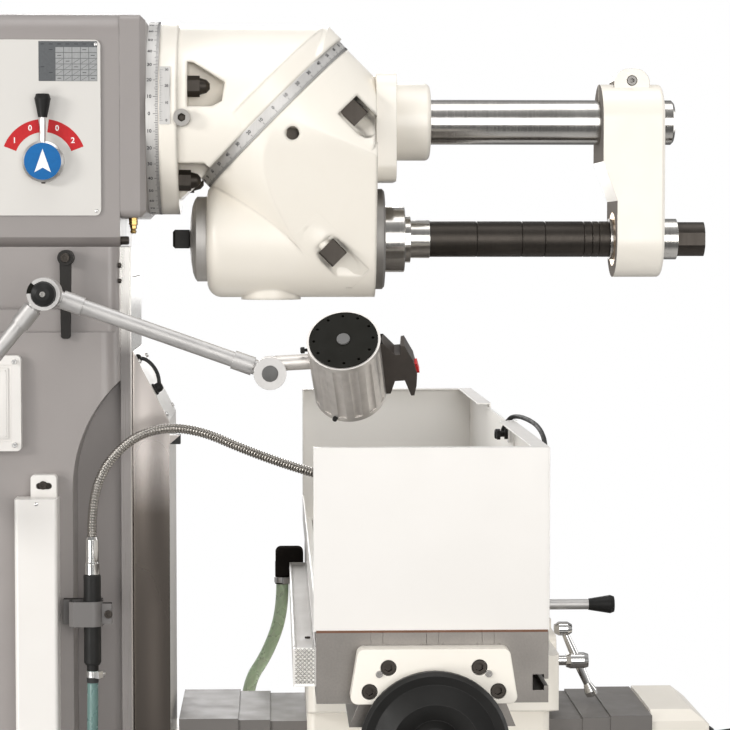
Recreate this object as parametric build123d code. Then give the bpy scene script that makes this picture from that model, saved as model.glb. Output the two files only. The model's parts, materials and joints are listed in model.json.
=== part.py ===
from build123d import *
from math import cos, hypot, pi, radians, sin, sqrt, tan
import os

# Universal knee-type milling machine with a two-axis swivel head set for horizontal milling.
# X runs along the table, -Y points to the operator and Z up from the floor, in millimetres.
# The origin is the centre of the four anchor holes, on the floor.

# Running clearances
GAP = 0.3  # between faces that slide or turn past each other
FIT = 0.05  # radial clearance of a shaft in its bore

# Heights and stations that the rest is hung from
SPINDLE_Z = 1400.0  # spindle and arbor axis
SWIVEL_RISE = 161.0  # swivel axis above the spindle axis
JOINT_Y = -80.0  # centre of the 45 degree joint
RAM_FACE_Y = 92.0  # front of the ram flange
WAY_Y = 112.0  # front of the vertical way plate
TABLE_TOP = 957.0
TABLE_REAR_Y = -120.0

# Base with its coolant tray
BASE_W = 620.0
BASE_L = 1040.0
BASE_H = 110.0
BASE_FOOT_H = 28.0
BASE_DRAFT = 22.0
BASE_CORNER_R = 45.0
TRAY_DEPTH = 45.0
TRAY_RIM = 34.0
ANCHOR_IN = 40.0  # anchor holes in from the edges of the base
ANCHOR_R = 9.0
NUT_TOP = 260.0
NUT_R = 48.0
LIFT_Y = -230.0  # elevating screw axis
LIFT_R = 18.0
LIFT_FOOT = 150.0

# Column, way plate and ram guide
COLUMN_W = 330.0
COLUMN_REAR_FOOT = 500.0
COLUMN_REAR_TOP = 470.0
COLUMN_EDGE_R = 22.0
CASTING_WALL = 28.0
WAY_W = 240.0
WAY_T = 14.0
WAY_LIP = 25.0
WAY_FOOT = 190.0
RECESS_D = 59.0
RECESS_TOP = 1228.0
RECESS_R = 191.0
GUIDE_H = 109.0
GUIDE_W = 292.0
GUIDE_FOOT_H = 29.0
GUIDE_FOOT_W = 318.0

# Ram
RAM_W = 263.0
RAM_RISE = 129.0
RAM_DROP = 171.0
RAM_L = 560.0
RAM_EDGE_R = 28.0
FLANGE_T = 33.0
FLANGE_H = 260.5
FLANGE_DROP = 3.2  # middle of the flange below the swivel axis
FLANGE_CHAMFER = 7.0
TONGUE_W = 150.0
TONGUE_FLARE = 20.0
TONGUE_H = 40.0
BORE_R = 46.0  # drive bore through ram, flange and swivel bracket
SHAFT_R = 18.0
BEARING_W = 24.0
MOTOR_R = 98.0
MOTOR_L = 230.0
MOTOR_FINS = 24
PANEL_L = 230.0
PANEL_H = 225.0
PANEL_T = 3.0
PANEL_FRONT_Y = 149.0
PANEL_FOOT = 1430.0

# Selector lever on the panel, and the ram clamp lever
SELECTOR_Y = 222.0
SELECTOR_Z = 1499.0
SELECTOR_R = 26.5
SELECTOR_T = 16.0
SELECTOR_ROD_R = 4.0
SELECTOR_REACH = 86.0
SELECTOR_KNOB_L = 30.0
SELECTOR_KNOB_R = 10.5
CLAMP_LEVER_Y = 192.0
CLAMP_LEVER_DROP = 14.0
CLAMP_LEVER_L = 103.0
CLAMP_LEVER_W = 15.0
CLAMP_LEVER_T = 8.0
CLAMP_HUB_R = 10.0

# Swivel bracket
RING_R = 128.0
RING_W = 16.0
BOSS_R = 118.0
SWIVEL_FLANGE_T = 24.0
SWIVEL_R = 123.0
TILT_R = 130.0
COLLAR_T = 27.0
TILT_RING_W = 16.0
SWIVEL_LIP = 4.4  # swivel casting beyond the tilt joint at its top
STUD_CIRCLE_R = 105.0
STUD_R = 8.0
STUD_HEAD_R = 13.0
STUD_HEAD_T = 10.0
STUD_SLOT_DEPTH = 22.0
NUT_AF = 24.0
NUT_L = 29.0
UPPER_NUT_RISE = 37.0
LOWER_NUT_DROP = 84.0
UPPER_SEAT = 13.0  # seat of the upper nuts in front of the flange
INDEX_R = 11.0

# Milling head
HOUSING_R = 78.0
HEAD_REAR_Y = 16.5
HEAD_FACE_Y = -208.0
HEAD_REAR_FILLET = 26.0
HEAD_BORE_R = 52.0
ANGLE_BORE_R = 49.0
SQUARE_BOLT = 27.0
SQUARE_BOLT_L = 26.0
SQUARE_BOLT_OFF = 77.0
LIFT_HOLE_R = 8.7
DRAIN_BOSS_R = 40.0
DRAIN_BOSS_T = 3.0
REAR_CAP_R = 57.0
REAR_CAP_L = 23.0
NOSE_CAP_R = 67.5
NOSE_CAP_T = 13.0

# Drive inside the head
GEAR_R = 41.0
GEAR_BACKLASH = 0.8
GEAR_TEETH = 18
TOOTH_DEPTH = 5.0
GEAR_INNER = 0.8  # small end of each bevel gear as a share of its large end
ANGLE_SHAFT_R = 14.0

# Spindle, arbor and overarm
NOSE_R = 44.44
NOSE_L = 27.0
FRONT_JOURNAL_R = 36.0
REAR_JOURNAL_R = 26.0
FRONT_BEARING_L = 24.0
REAR_BEARING_L = 26.0
TAPER_R = 22.22
TAPER_L = 93.0
TAPER_SLOPE = 7 / 48
DRAWBAR_R = 8.0
DRAWBAR_SQUARE = 25.0
DRAWBAR_SQUARE_L = 22.0
KEY_W = 15.9
KEY_H = 16.0
ARBOR_R = 16.0
ARBOR_FLANGE_R = 31.5
ARBOR_FLANGE_T = 8.0
COLLAR_R = 25.5
COLLAR_L = 26.0
SPACER_R = 24.0
SPACERS = (63.5, 61.0, 31.0, 52.5, 11.0, 9.5, 14.5)
SPACER_EDGE = 0.8
JOURNAL_R = 27.5
JOURNAL_L = 91.0
ARBOR_NUT_R = 24.4
ARBOR_NUT_L = 39.0
BAR_RISE = 157.0
BAR_R = 30.0
BAR_END_Y = -611.0
BRACKET_FLANGE_T = 27.0
BRACKET_HUB_L = 47.0
BRACKET_HUB_R = 51.5
SUPPORT_BACK_Y = -511.0
SUPPORT_FRONT_Y = -594.0
SUPPORT_STEP = 19.0
SUPPORT_R = 51.0
SUPPORT_LUG_W = 48.0
SUPPORT_LUG_TOP = 228.0
SUPPORT_SLIT = 3.0
BUSH_R = 36.0

# Table
TABLE_L = 1100.0
TABLE_W = 263.0
TABLE_T = 82.0
SLOT_COUNT = 3
SLOT_PITCH = 63.0
SLOT_NECK_W = 14.0
SLOT_NECK_H = 14.0
SLOT_HEAD_W = 25.0
SLOT_HEAD_H = 11.0
DOG_SLOT_NECK = 8.0
DOG_SLOT_HEAD = 18.0
DOG_SLOT_DEPTH = 13.0
DOG_SLOT_DROP = 59.0
DOVE_W = 167.0
DOVE_FLARE = 11.0
DOVE_H = 27.0
SCREW_DROP = 122.0  # table screw axis below the table top
SCREW_R = 14.0
SCREW_NECK_R = 11.0
END_BRACKET_T = 26.0
END_BRACKET_TOP_W = 170.0
END_BRACKET_FOOT_W = 190.0
END_BRACKET_DROP = 16.0
END_BRACKET_H = 62.0
END_HUB_R = 44.0
CAP_SCREW_R = 8.0
CAP_SCREW_RECESS = 9.0
WHEEL_R = 84.0
WHEEL_T = 34.0
WHEEL_HANDLE_L = 62.0

# Splash guard and coolant trough
SHEET = 2.0
GUARD_H = 208.0
GUARD_REAR_H = 40.0
GUARD_FOLD = 14.0
GUARD_RIM = 20.0  # inward rim along the top of the front sheets
GUARD_DOOR_FROM = -147.0
GUARD_DOOR_TO = 198.0
TROUGH_W = 26.0
TROUGH_H = 43.0
TROUGH_DROP = 20.0
TROUGH_FROM = -545.0
TROUGH_TO = 190.0
ELBOW_X = 202.0
ELBOW_Y = -84.0
ELBOW_FOOT = 905.0
CLIP_X = 206.0
CLIP_Y = -32.0
CLIP_Z = 738.0
CLIP_H = 14.0
DRAIN_END = 240.0
HOSE_R = 9.0

# Saddle, apron and knee
SADDLE_REAR_Y = -115.0
SADDLE_FRONT_Y = -433.0
SADDLE_W = 480.0
SADDLE_NECK_W = 270.0
SADDLE_WING_H = 78.0
KNEE_TOP = 720.0
KNEE_DOVE_W = 150.0
KNEE_DOVE_FLARE = 11.0
KNEE_DOVE_H = 25.0
KNEE_W = 250.0
KNEE_WALL = 22.0
KNEE_FRONT_Y = -572.0
KNEE_FOOT = 400.0
KNEE_TOE = 430.0
JAW_W = 30.0
JAW_L = 23.0
FRONT_BLOCK_T = 77.0
FRONT_BLOCK_W = 198.0
FRONT_BLOCK_TOP = 775.0
CROSS_Z = 660.0
CROSS_R = 10.0
CROSS_WHEEL_R = 75.0
CRANK_Z = 470.0
CRANK_R = 90.0
CRANK_SHAFT_R = 9.0
APRON_T = 12.0
APRON_W = 200.0
LEVER_Y = -421.0
LEVER_Z = 903.0
LEVER_ROD_R = 7.0
LEVER_END_Y = -535.0
LEVER_KNOB_L = 35.0
LEVER_KNOB_R = 12.5
BALL_CRANK_Y = -485.0
BALL_CRANK_ARM = 48.0
BALL_CRANK_LEAN = 24.0
BALL_R = 9.5
COVER_TOP = 770.0
COVER_W = 210.0
COVER_STEP = 2.5
COVER_LAP = 82.0
HOOD_Y = 64.0
HOOD_W = 210.0
HOOD_EAVE = 1162.0
HOOD_RIDGE = 1254.0

# Column furniture
BOX_FRONT_Y = 249.0
BOX_L = 150.0
BOX_FOOT = 1130.0
BOX_H = 122.0
BOX_T = 12.0
DUCT_Y = 229.0
DUCT_W = 54.0
DUCT_D = 38.0
DUCT_TOP = 1071.0
TAP_X = -190.0
TAP_Y = 159.0
TAP_R = 11.0
TAP_FOOT = 858.0
TAP_H = 116.0
TAP_TOP = TAP_FOOT + TAP_H
FERRULE_H = 48.0
FERRULE_TOP = TAP_TOP + FERRULE_H
FERRULE_R = 8.5
GOOSE_R = 5.8
GOOSE_BORE_R = 3.6
GOOSE_RIBS = 110
SUPPLY_R = 7.0

# Work lamp
LAMP_X = -300.0
LAMP_BASE = (389.0, 1106.0)
LAMP_ELBOW = (206.0, 1333.0)
LAMP_WRIST = (-68.0, 1236.0)
EYE_T = 20.0
EYE_R = 20.0
PIN_R = 5.0
ARM_R = 9.5
SLEEVE_R = 11.6
SLEEVE_L = 26.0
LAMP_BACK = (-335.0, -157.0, 1277.0)
LAMP_AIM = (0.758, -0.106, -0.643)
LAMP_R = 45.0
LAMP_L = 106.0
LAMP_FLUTES = 14
LAMP_RIM = 3.0
NECK_R = 9.5
NECK_RISE = 12.0  # neck above the wrist pin

# Places worked out from the driving dimensions
axis_z = SPINDLE_Z + SWIVEL_RISE
ram_foot = axis_z - RAM_DROP
ram_back_y = RAM_FACE_Y + FLANGE_T
ram_end_y = ram_back_y + RAM_L
guide_foot = ram_foot - GUIDE_H
way_back_y = WAY_Y + WAY_T
column_x = COLUMN_W / 2
boss_y = RAM_FACE_Y - RING_W
swivel_seat_y = boss_y - SWIVEL_FLANGE_T
cross_y = JOINT_Y - SWIVEL_RISE  # where the tilt axis meets the spindle axis
nose_y = HEAD_FACE_Y - NOSE_CAP_T - NOSE_L
table_y = TABLE_REAR_Y - TABLE_W / 2
table_foot = TABLE_TOP - TABLE_T
table_front_y = TABLE_REAR_Y - TABLE_W
screw_z = TABLE_TOP - SCREW_DROP
saddle_top = table_foot - GAP
knee_dove_top = KNEE_TOP + KNEE_DOVE_H
front_block_y = KNEE_FRONT_Y - FRONT_BLOCK_T
half_root = 1 / sqrt(2)
tilt_axis = Vector(0, -half_root, -half_root)
tilt_plane = Plane(origin=(0, JOINT_Y, axis_z), x_dir=(1, 0, 0), z_dir=tilt_axis)

os.makedirs("parts", exist_ok=True)


def save(name, *pieces):
    """Writes one node, as a group where it has several separate solids."""
    shape = pieces[0] if len(pieces) == 1 else Compound(children=list(pieces))
    export_step(shape, f"parts/{name}.step")


def block(x, y, z):
    """Box between a low and a high value on each axis."""
    size = [high - low for low, high in (x, y, z)]
    centre = [(high + low) / 2 for low, high in (x, y, z)]
    return Pos(*centre) * Box(*size)


def rod(radius, start, end):
    """Round bar between two points."""
    start = Vector(*start)
    run = Vector(*end) - start
    bar = Cylinder(radius, run.length, align=(Align.CENTER, Align.CENTER, Align.MIN))
    return Plane(origin=start, z_dir=run).location * bar


def turned(points, at, along):
    """Solid of revolution from (radius, distance) points about the axis that starts at a point."""
    outline = make_face(Polyline(*[(r, 0, h) for r, h in points], close=True))
    return Plane(origin=at, z_dir=along).location * revolve(outline, Axis.Z)


def ring(outer, inner, at, along, length):
    """Plain ring with its first face at a point."""
    return turned([(inner, 0), (outer, 0), (outer, length), (inner, length)], at, along)


def along_x(outline, low, high):
    """Prism along X whose outline is drawn in Y and Z."""
    return extrude(Plane.YZ.offset(low) * outline, high - low)


def along_y(outline, low, high):
    """Prism along Y whose outline is drawn in X and Z."""
    return extrude(Plane.XZ.offset(-high) * outline, high - low)


def along_z(outline, low, high):
    """Prism along Z whose outline is drawn in X and Y."""
    return extrude(Plane.XY.offset(low) * outline, high - low)


def shape(*points):
    """Closed outline through corner points."""
    return make_face(Polyline(*points, close=True))


def both_sides(piece):
    """The piece and its mirror image across the middle plane."""
    return [piece, mirror(piece, about=Plane.YZ)]


def dovetail(width, flare, height, gap=0.0):
    """Dovetail outline standing on its narrow side at the origin, wider by the flare at each side."""
    narrow = width / 2 + gap
    return shape((-narrow, -1), (-narrow, 0), (-narrow - flare, height + gap),
                 (narrow + flare, height + gap), (narrow, 0), (narrow, -1))


def bevel_gear(apex, along, pitch_degrees, bore):
    """Bevel gear whose pitch cone has its point at the apex, with straight tapering teeth."""
    reach = GEAR_R / tan(radians(pitch_degrees))
    inner = GEAR_INNER
    outline = Circle(GEAR_R - GEAR_BACKLASH)
    groove = Rectangle(TOOTH_DEPTH, GEAR_R * pi / GEAR_TEETH)
    outline -= [loc * groove for loc in PolarLocations(GEAR_R, GEAR_TEETH)]
    small = scale(outline, by=inner)
    body = loft([Plane.XY.offset(reach * inner) * small.face(), Plane.XY.offset(reach) * outline.face()])
    body -= Cylinder(bore, 4 * reach)
    return Plane(origin=apex, z_dir=along).location * body


def hex_nut(at, along, across, length):
    """Domed hexagon nut standing on a point."""
    flat = 0.55 * length
    nut = extrude(RegularPolygon(across / 2, 6, major_radius=False), flat)
    dome = turned([(0, 0), (across * 0.46, 0), (across * 0.46, flat), (across * 0.36, 0.85 * length),
                   (across * 0.16, length), (0, length)], (0, 0, 0), (0, 0, 1))
    return Plane(origin=at, z_dir=along).location * (nut + dome)


def cap_screw(at, along, radius):
    """Socket cap screw: head outside the point, shank behind it."""
    head = Cylinder(radius, radius * 1.2, align=(Align.CENTER, Align.CENTER, Align.MIN))
    socket = extrude(RegularPolygon(radius * 0.52, 6, major_radius=False), radius)
    head -= Pos(0, 0, radius * 0.5) * socket
    shank = Cylinder(radius * 0.62, radius * 2.2, align=(Align.CENTER, Align.CENTER, Align.MAX))
    return Plane(origin=at, z_dir=along).location * (head + shank)


def handwheel(at, along, radius, thickness, bore):
    """Dished solid handwheel with a turned rim; the hub faces back along the axis."""
    rim = thickness * 0.42
    web = thickness * 0.22
    return turned([(bore, -4), (22, -4), (24, web), (radius - 2 * rim, web * 2.6), (radius - rim, web),
                   (radius - 3, 0), (radius, 4), (radius, rim - 3), (radius - 4, rim + 3),
                   (radius - rim, rim), (radius - 2.4 * rim, web * 3.6), (30, web * 1.9),
                   (23, thickness * 0.7), (19, thickness * 0.78), (bore, thickness * 0.78)], at, along)


def grip(at, along, length, radius):
    """Revolving machine handle, narrow at the root and full near the end."""
    return turned([(0, 0), (radius * 0.55, 0), (radius * 0.62, length * 0.12), (radius, length * 0.62),
                   (radius * 0.9, length * 0.88), (radius * 0.45, length), (0, length)], at, along)


def make_base():
    foot_outline = RectangleRounded(BASE_W, BASE_L, BASE_CORNER_R)
    foot = along_z(foot_outline, 0, BASE_FOOT_H)
    waist = RectangleRounded(BASE_W - BASE_DRAFT, BASE_L - BASE_DRAFT, BASE_CORNER_R)
    crown = RectangleRounded(BASE_W - 2 * BASE_DRAFT, BASE_L - 2 * BASE_DRAFT, BASE_CORNER_R)
    body = loft([Plane.XY.offset(BASE_FOOT_H) * waist.face(), Plane.XY.offset(BASE_H) * crown.face()])
    base = foot + body
    inner_x = BASE_W / 2 - BASE_DRAFT - TRAY_RIM
    front = -BASE_L / 2 + BASE_DRAFT + TRAY_RIM
    back = way_back_y - TRAY_RIM / 2
    tray = Pos(0, (front + back) / 2) * RectangleRounded(2 * inner_x, back - front, BASE_CORNER_R / 2)
    base -= along_z(tray, BASE_H - TRAY_DEPTH, BASE_H + 1)
    base -= rod(LIFT_R + 2, (0, LIFT_Y, 12), (0, LIFT_Y, BASE_H))
    for x in (ANCHOR_IN - BASE_W / 2, BASE_W / 2 - ANCHOR_IN):
        for y in (ANCHOR_IN - BASE_L / 2, BASE_L / 2 - ANCHOR_IN):
            base -= rod(ANCHOR_R, (x, y, -1), (x, y, BASE_H + 1))
            base -= rod(2.2 * ANCHOR_R, (x, y, BASE_FOOT_H), (x, y, BASE_H + 1))
    save("base", base)
    floor = BASE_H - TRAY_DEPTH
    save("elevating_nut", turned([(LIFT_R + FIT, floor), (NUT_R * 1.5, floor), (NUT_R * 1.5, floor + 16),
                                  (NUT_R, floor + 30), (NUT_R * 0.8, NUT_TOP), (LIFT_R + FIT, NUT_TOP)],
                                 (0, LIFT_Y, 0), (0, 0, 1)))


def make_column():
    depth_foot = COLUMN_REAR_FOOT - way_back_y
    depth_top = COLUMN_REAR_TOP - way_back_y
    foot = Pos(0, way_back_y + depth_foot / 2) * RectangleRounded(COLUMN_W, depth_foot, COLUMN_EDGE_R)
    top = Pos(0, way_back_y + depth_top / 2) * RectangleRounded(COLUMN_W, depth_top, COLUMN_EDGE_R)
    column = loft([Plane.XY.offset(BASE_H) * foot.face(), Plane.XY.offset(guide_foot) * top.face()])
    back = way_back_y + RECESS_D
    bend_z = RECESS_TOP - sqrt(RECESS_R**2 - (RECESS_R - RECESS_D - 12) ** 2)
    edge = Polyline((way_back_y - 12, RECESS_TOP), (way_back_y - 20, RECESS_TOP),
                    (way_back_y - 20, BASE_H - 1), (back, BASE_H - 1), (back, bend_z))
    curve = TangentArc((back, bend_z), (way_back_y - 12, RECESS_TOP), tangent=(0, 1))
    recess = make_face([*edge.edges(), curve])
    for side in both_sides(along_x(recess, WAY_W / 2 - WAY_LIP, column_x + 10)):
        column -= side
    groove = Pos(0, ram_foot) * Rot(0, 0, 180) * dovetail(TONGUE_W, TONGUE_FLARE, TONGUE_H, GAP)
    clear = along_y(groove, WAY_Y - 10, COLUMN_REAR_FOOT + 200)
    ways = block((-WAY_W / 2, WAY_W / 2), (WAY_Y, way_back_y), (WAY_FOOT, ram_foot - GAP)) - clear
    save("vertical_ways", chamfer(ways.edges().filter_by(Axis.Z).group_by(Axis.Y)[0], 1.5))
    guide_outline = Pos(0, guide_foot + GUIDE_H / 2) * Rectangle(GUIDE_W, GUIDE_H)
    guide = fillet(along_y(guide_outline, way_back_y, COLUMN_REAR_TOP).edges().filter_by(Axis.Z), 14)
    skirt = Pos(0, way_back_y + depth_top / 2) * RectangleRounded(GUIDE_FOOT_W, depth_top, 14)
    guide += along_z(skirt, guide_foot, guide_foot + GUIDE_FOOT_H)
    guide -= clear
    column += guide
    inner_x = column_x - CASTING_WALL
    column -= block((-inner_x, inner_x), (way_back_y + RECESS_D + CASTING_WALL, COLUMN_REAR_TOP - CASTING_WALL),
                    (BASE_H - 1, guide_foot - CASTING_WALL))
    save("column", column)


def make_column_furniture():
    x = -column_x
    box = block((x - BOX_T, x), (BOX_FRONT_Y, BOX_FRONT_Y + BOX_L), (BOX_FOOT, BOX_FOOT + BOX_H))
    box = fillet(box.edges().filter_by(Axis.X), 6)
    inner = block((x - BOX_T - 1, x - BOX_T + 1.5), (BOX_FRONT_Y + 12, BOX_FRONT_Y + BOX_L - 12),
                  (BOX_FOOT + 12, BOX_FOOT + BOX_H - 12))
    rim = block((x - BOX_T - 1, x - BOX_T + 1.5), (BOX_FRONT_Y + 16, BOX_FRONT_Y + BOX_L - 16),
                (BOX_FOOT + 16, BOX_FOOT + BOX_H - 16))
    box -= inner - rim
    corners = [(y, z) for y in (BOX_FRONT_Y + 8, BOX_FRONT_Y + BOX_L - 8)
               for z in (BOX_FOOT + 8, BOX_FOOT + BOX_H - 8)]
    for y, z in corners:
        box += rod(3.2, (x - BOX_T, y, z), (x - BOX_T - 2, y, z))
    duct = block((x - DUCT_D, x), (DUCT_Y - DUCT_W / 2, DUCT_Y + DUCT_W / 2), (BASE_H, DUCT_TOP))
    duct = fillet(duct.edges().filter_by(Axis.Z).group_by(Axis.X)[0], 5)
    bracket = block((x - 18, x), (DUCT_Y - 25, DUCT_Y + 8), (DUCT_TOP, DUCT_TOP + 29))
    bracket = fillet(bracket.edges().filter_by(Axis.X).group_by(Axis.Z)[-1], 5)
    bracket -= along_x(Pos(DUCT_Y - 9, DUCT_TOP + 15) * SlotOverall(20, 8), x - 19, x - 11)
    bracket += rod(3.4, (x - 11, DUCT_Y - 9, DUCT_TOP + 15), (x - 17, DUCT_Y - 9, DUCT_TOP + 15))
    save("column_covers", box, duct, bracket)


def make_coolant():
    at = (TAP_X, TAP_Y)
    body = turned([(0, TAP_FOOT), (TAP_R - 2, TAP_FOOT), (TAP_R, TAP_FOOT + 3), (TAP_R, TAP_TOP - 2),
                   (TAP_R - 2, TAP_TOP), (0, TAP_TOP)], (*at, 0), (0, 0, 1))
    ferrule = turned([(0, TAP_TOP), (FERRULE_R + 1, TAP_TOP), (FERRULE_R + 1, TAP_TOP + 14),
                      (FERRULE_R, TAP_TOP + 16), (FERRULE_R, FERRULE_TOP - 4),
                      (GOOSE_R + 1, FERRULE_TOP), (GOOSE_BORE_R, FERRULE_TOP),
                      (GOOSE_BORE_R, TAP_TOP + 8), (0, TAP_TOP + 8)], (*at, 0), (0, 0, 1))
    middle = (TAP_FOOT + TAP_TOP) / 2 + 8
    strap = ring(TAP_R + 3, TAP_R, (*at, middle - 16), (0, 0, 1), 32)
    near = TAP_X - TAP_R - 3
    fold = TAP_Y + 29
    band = shape((near, TAP_Y), (near, fold - 6), (near + 6, fold), (-column_x, fold), (-column_x, fold - 3),
                 (near + 7, fold - 3), (near + 3, fold - 7), (near + 3, TAP_Y))
    strap += along_z(band, middle - 16, middle + 16)
    back_y = way_back_y + RECESS_D
    strap += block((TAP_X + TAP_R, -column_x), (TAP_Y - 12, back_y + 12), (middle - 16, middle + 16))
    strap += block((-column_x - 6, -column_x), (TAP_Y - 12, back_y + 12), (middle - 16, middle + 16))
    strap += block((TAP_X - 6, TAP_X + 6), (TAP_Y - TAP_R - 14, TAP_Y - TAP_R - 1), (middle - 13, middle + 13))
    strap -= rod(TAP_R, (*at, middle - 20), (*at, middle + 20))
    strap += rod(4, (TAP_X - 6, TAP_Y - TAP_R - 8, middle), (TAP_X - 10, TAP_Y - TAP_R - 8, middle))
    save("coolant_tap", body, strap)
    return ferrule


# Route of the ribbed metal hose from its ferrule, over the low guard wall, to the nozzle
GOOSE_ROUTE = (
    (TAP_X, TAP_Y, FERRULE_TOP),
    (TAP_X, TAP_Y, 1070.0),
    (TAP_X, 138.0, 1121.0),
    (TAP_X, 92.0, 1158.0),
    (TAP_X, 30.0, 1161.0),
    (TAP_X + 4, -44.0, 1128.0),
    (TAP_X + 10, -122.0, 1101.0),
    (TAP_X + 22, -176.0, 1088.0),
    (TAP_X + 42, -226.0, 1062.0),
)
# Route of the coolant supply hose from the base to the tap
SUPPLY_ROUTE = (
    (TAP_X - 6, 176.0, BASE_H + 2),
    (TAP_X - 8, 178.0, 250.0),
    (TAP_X - 18, 168.0, 470.0),
    (TAP_X - 8, 162.0, 680.0),
    (TAP_X, TAP_Y, 780.0),
    (TAP_X, TAP_Y, TAP_FOOT),
)
# Route of the drain hose from the trough elbow, through the clip on the saddle, to its open end over the tray
DRAIN_ROUTE = (
    (ELBOW_X, ELBOW_Y, ELBOW_FOOT),
    (ELBOW_X, ELBOW_Y, 862.0),
    (ELBOW_X + 2, -62.0, 802.0),
    (CLIP_X, CLIP_Y, CLIP_Z + 20),
    (CLIP_X, CLIP_Y + 2, CLIP_Z - 90),
    (CLIP_X + 5, CLIP_Y + 6, 500.0),
    (CLIP_X + 2, CLIP_Y + 8, 360.0),
    (CLIP_X, CLIP_Y + 6, DRAIN_END),
)


def rounded_route(points):
    """Straight runs joined by tangent arcs as large as the shorter run beside each corner allows."""
    edges = []
    start = Vector(*points[0])
    for before, here, after in zip(points, points[1:], points[2:]):
        back = Vector(*before) - Vector(*here)
        ahead = Vector(*after) - Vector(*here)
        trim = 0.45 * min(back.length, ahead.length)
        first = Vector(*here) + back.normalized() * trim
        last = Vector(*here) + ahead.normalized() * trim
        edges.append(Line(start, first))
        edges.append(TangentArc(first, last, tangent=back.normalized() * -1))
        start = last
    edges.append(Line(start, Vector(*points[-1])))
    return Wire([edge.edge() for edge in edges])


def bend_radii(points):
    """Radius of each corner of a route."""
    radii = []
    for before, here, after in zip(points, points[1:], points[2:]):
        back = Vector(*before) - Vector(*here)
        ahead = Vector(*after) - Vector(*here)
        turn = radians(180 - back.get_angle(ahead))
        radii.append(0.45 * min(back.length, ahead.length) / tan(turn / 2))
    return [round(r, 1) for r in radii]


def tube(points, radius):
    """Round cord or hose along a route."""
    path = rounded_route(points)
    section = Plane(origin=path @ 0, z_dir=path % 0) * Circle(radius)
    return sweep(section, path=path)


def make_hoses(ferrule):
    for name, points in (("gooseneck", GOOSE_ROUTE), ("supply hose", SUPPLY_ROUTE), ("drain hose", DRAIN_ROUTE)):
        print(name, "bend radii", bend_radii(points))
    path = rounded_route(GOOSE_ROUTE)
    plain = 2 * GOOSE_R / path.length
    pitch = (1 - 2 * plain) / GOOSE_RIBS
    stations = [(0.0, GOOSE_R * 0.86)]
    for number in range(GOOSE_RIBS):
        start = plain + number * pitch
        stations += [(start, GOOSE_R * 0.86), (start + 0.25 * pitch, GOOSE_R),
                     (start + 0.6 * pitch, GOOSE_R), (start + 0.85 * pitch, GOOSE_R * 0.86)]
    stations.append((1.0, GOOSE_R * 0.86))
    rings = []
    for share, radius in stations:
        frame = Plane(origin=path @ share, x_dir=(1, 0, 0), z_dir=path % share)
        rings.append((frame * Circle(radius)).face())
    hose = loft(rings, ruled=True)
    section = Plane(origin=path @ 0, x_dir=(1, 0, 0), z_dir=path % 0) * Circle(GOOSE_BORE_R)
    save("gooseneck_hose", hose - sweep(section, path=path))
    end = path @ 1
    aim = path % 1
    nozzle = turned([(GOOSE_BORE_R, 0), (GOOSE_R + 1.5, 0), (GOOSE_R + 1.5, 16), (GOOSE_R - 1, 22),
                     (3.4, 46), (2.2, 46), (GOOSE_BORE_R, 20)], end, aim)
    save("hose_fittings", ferrule, nozzle)
    save("supply_hose", tube(SUPPLY_ROUTE, SUPPLY_R))
    save("drain_hose", tube(DRAIN_ROUTE, HOSE_R))


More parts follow.
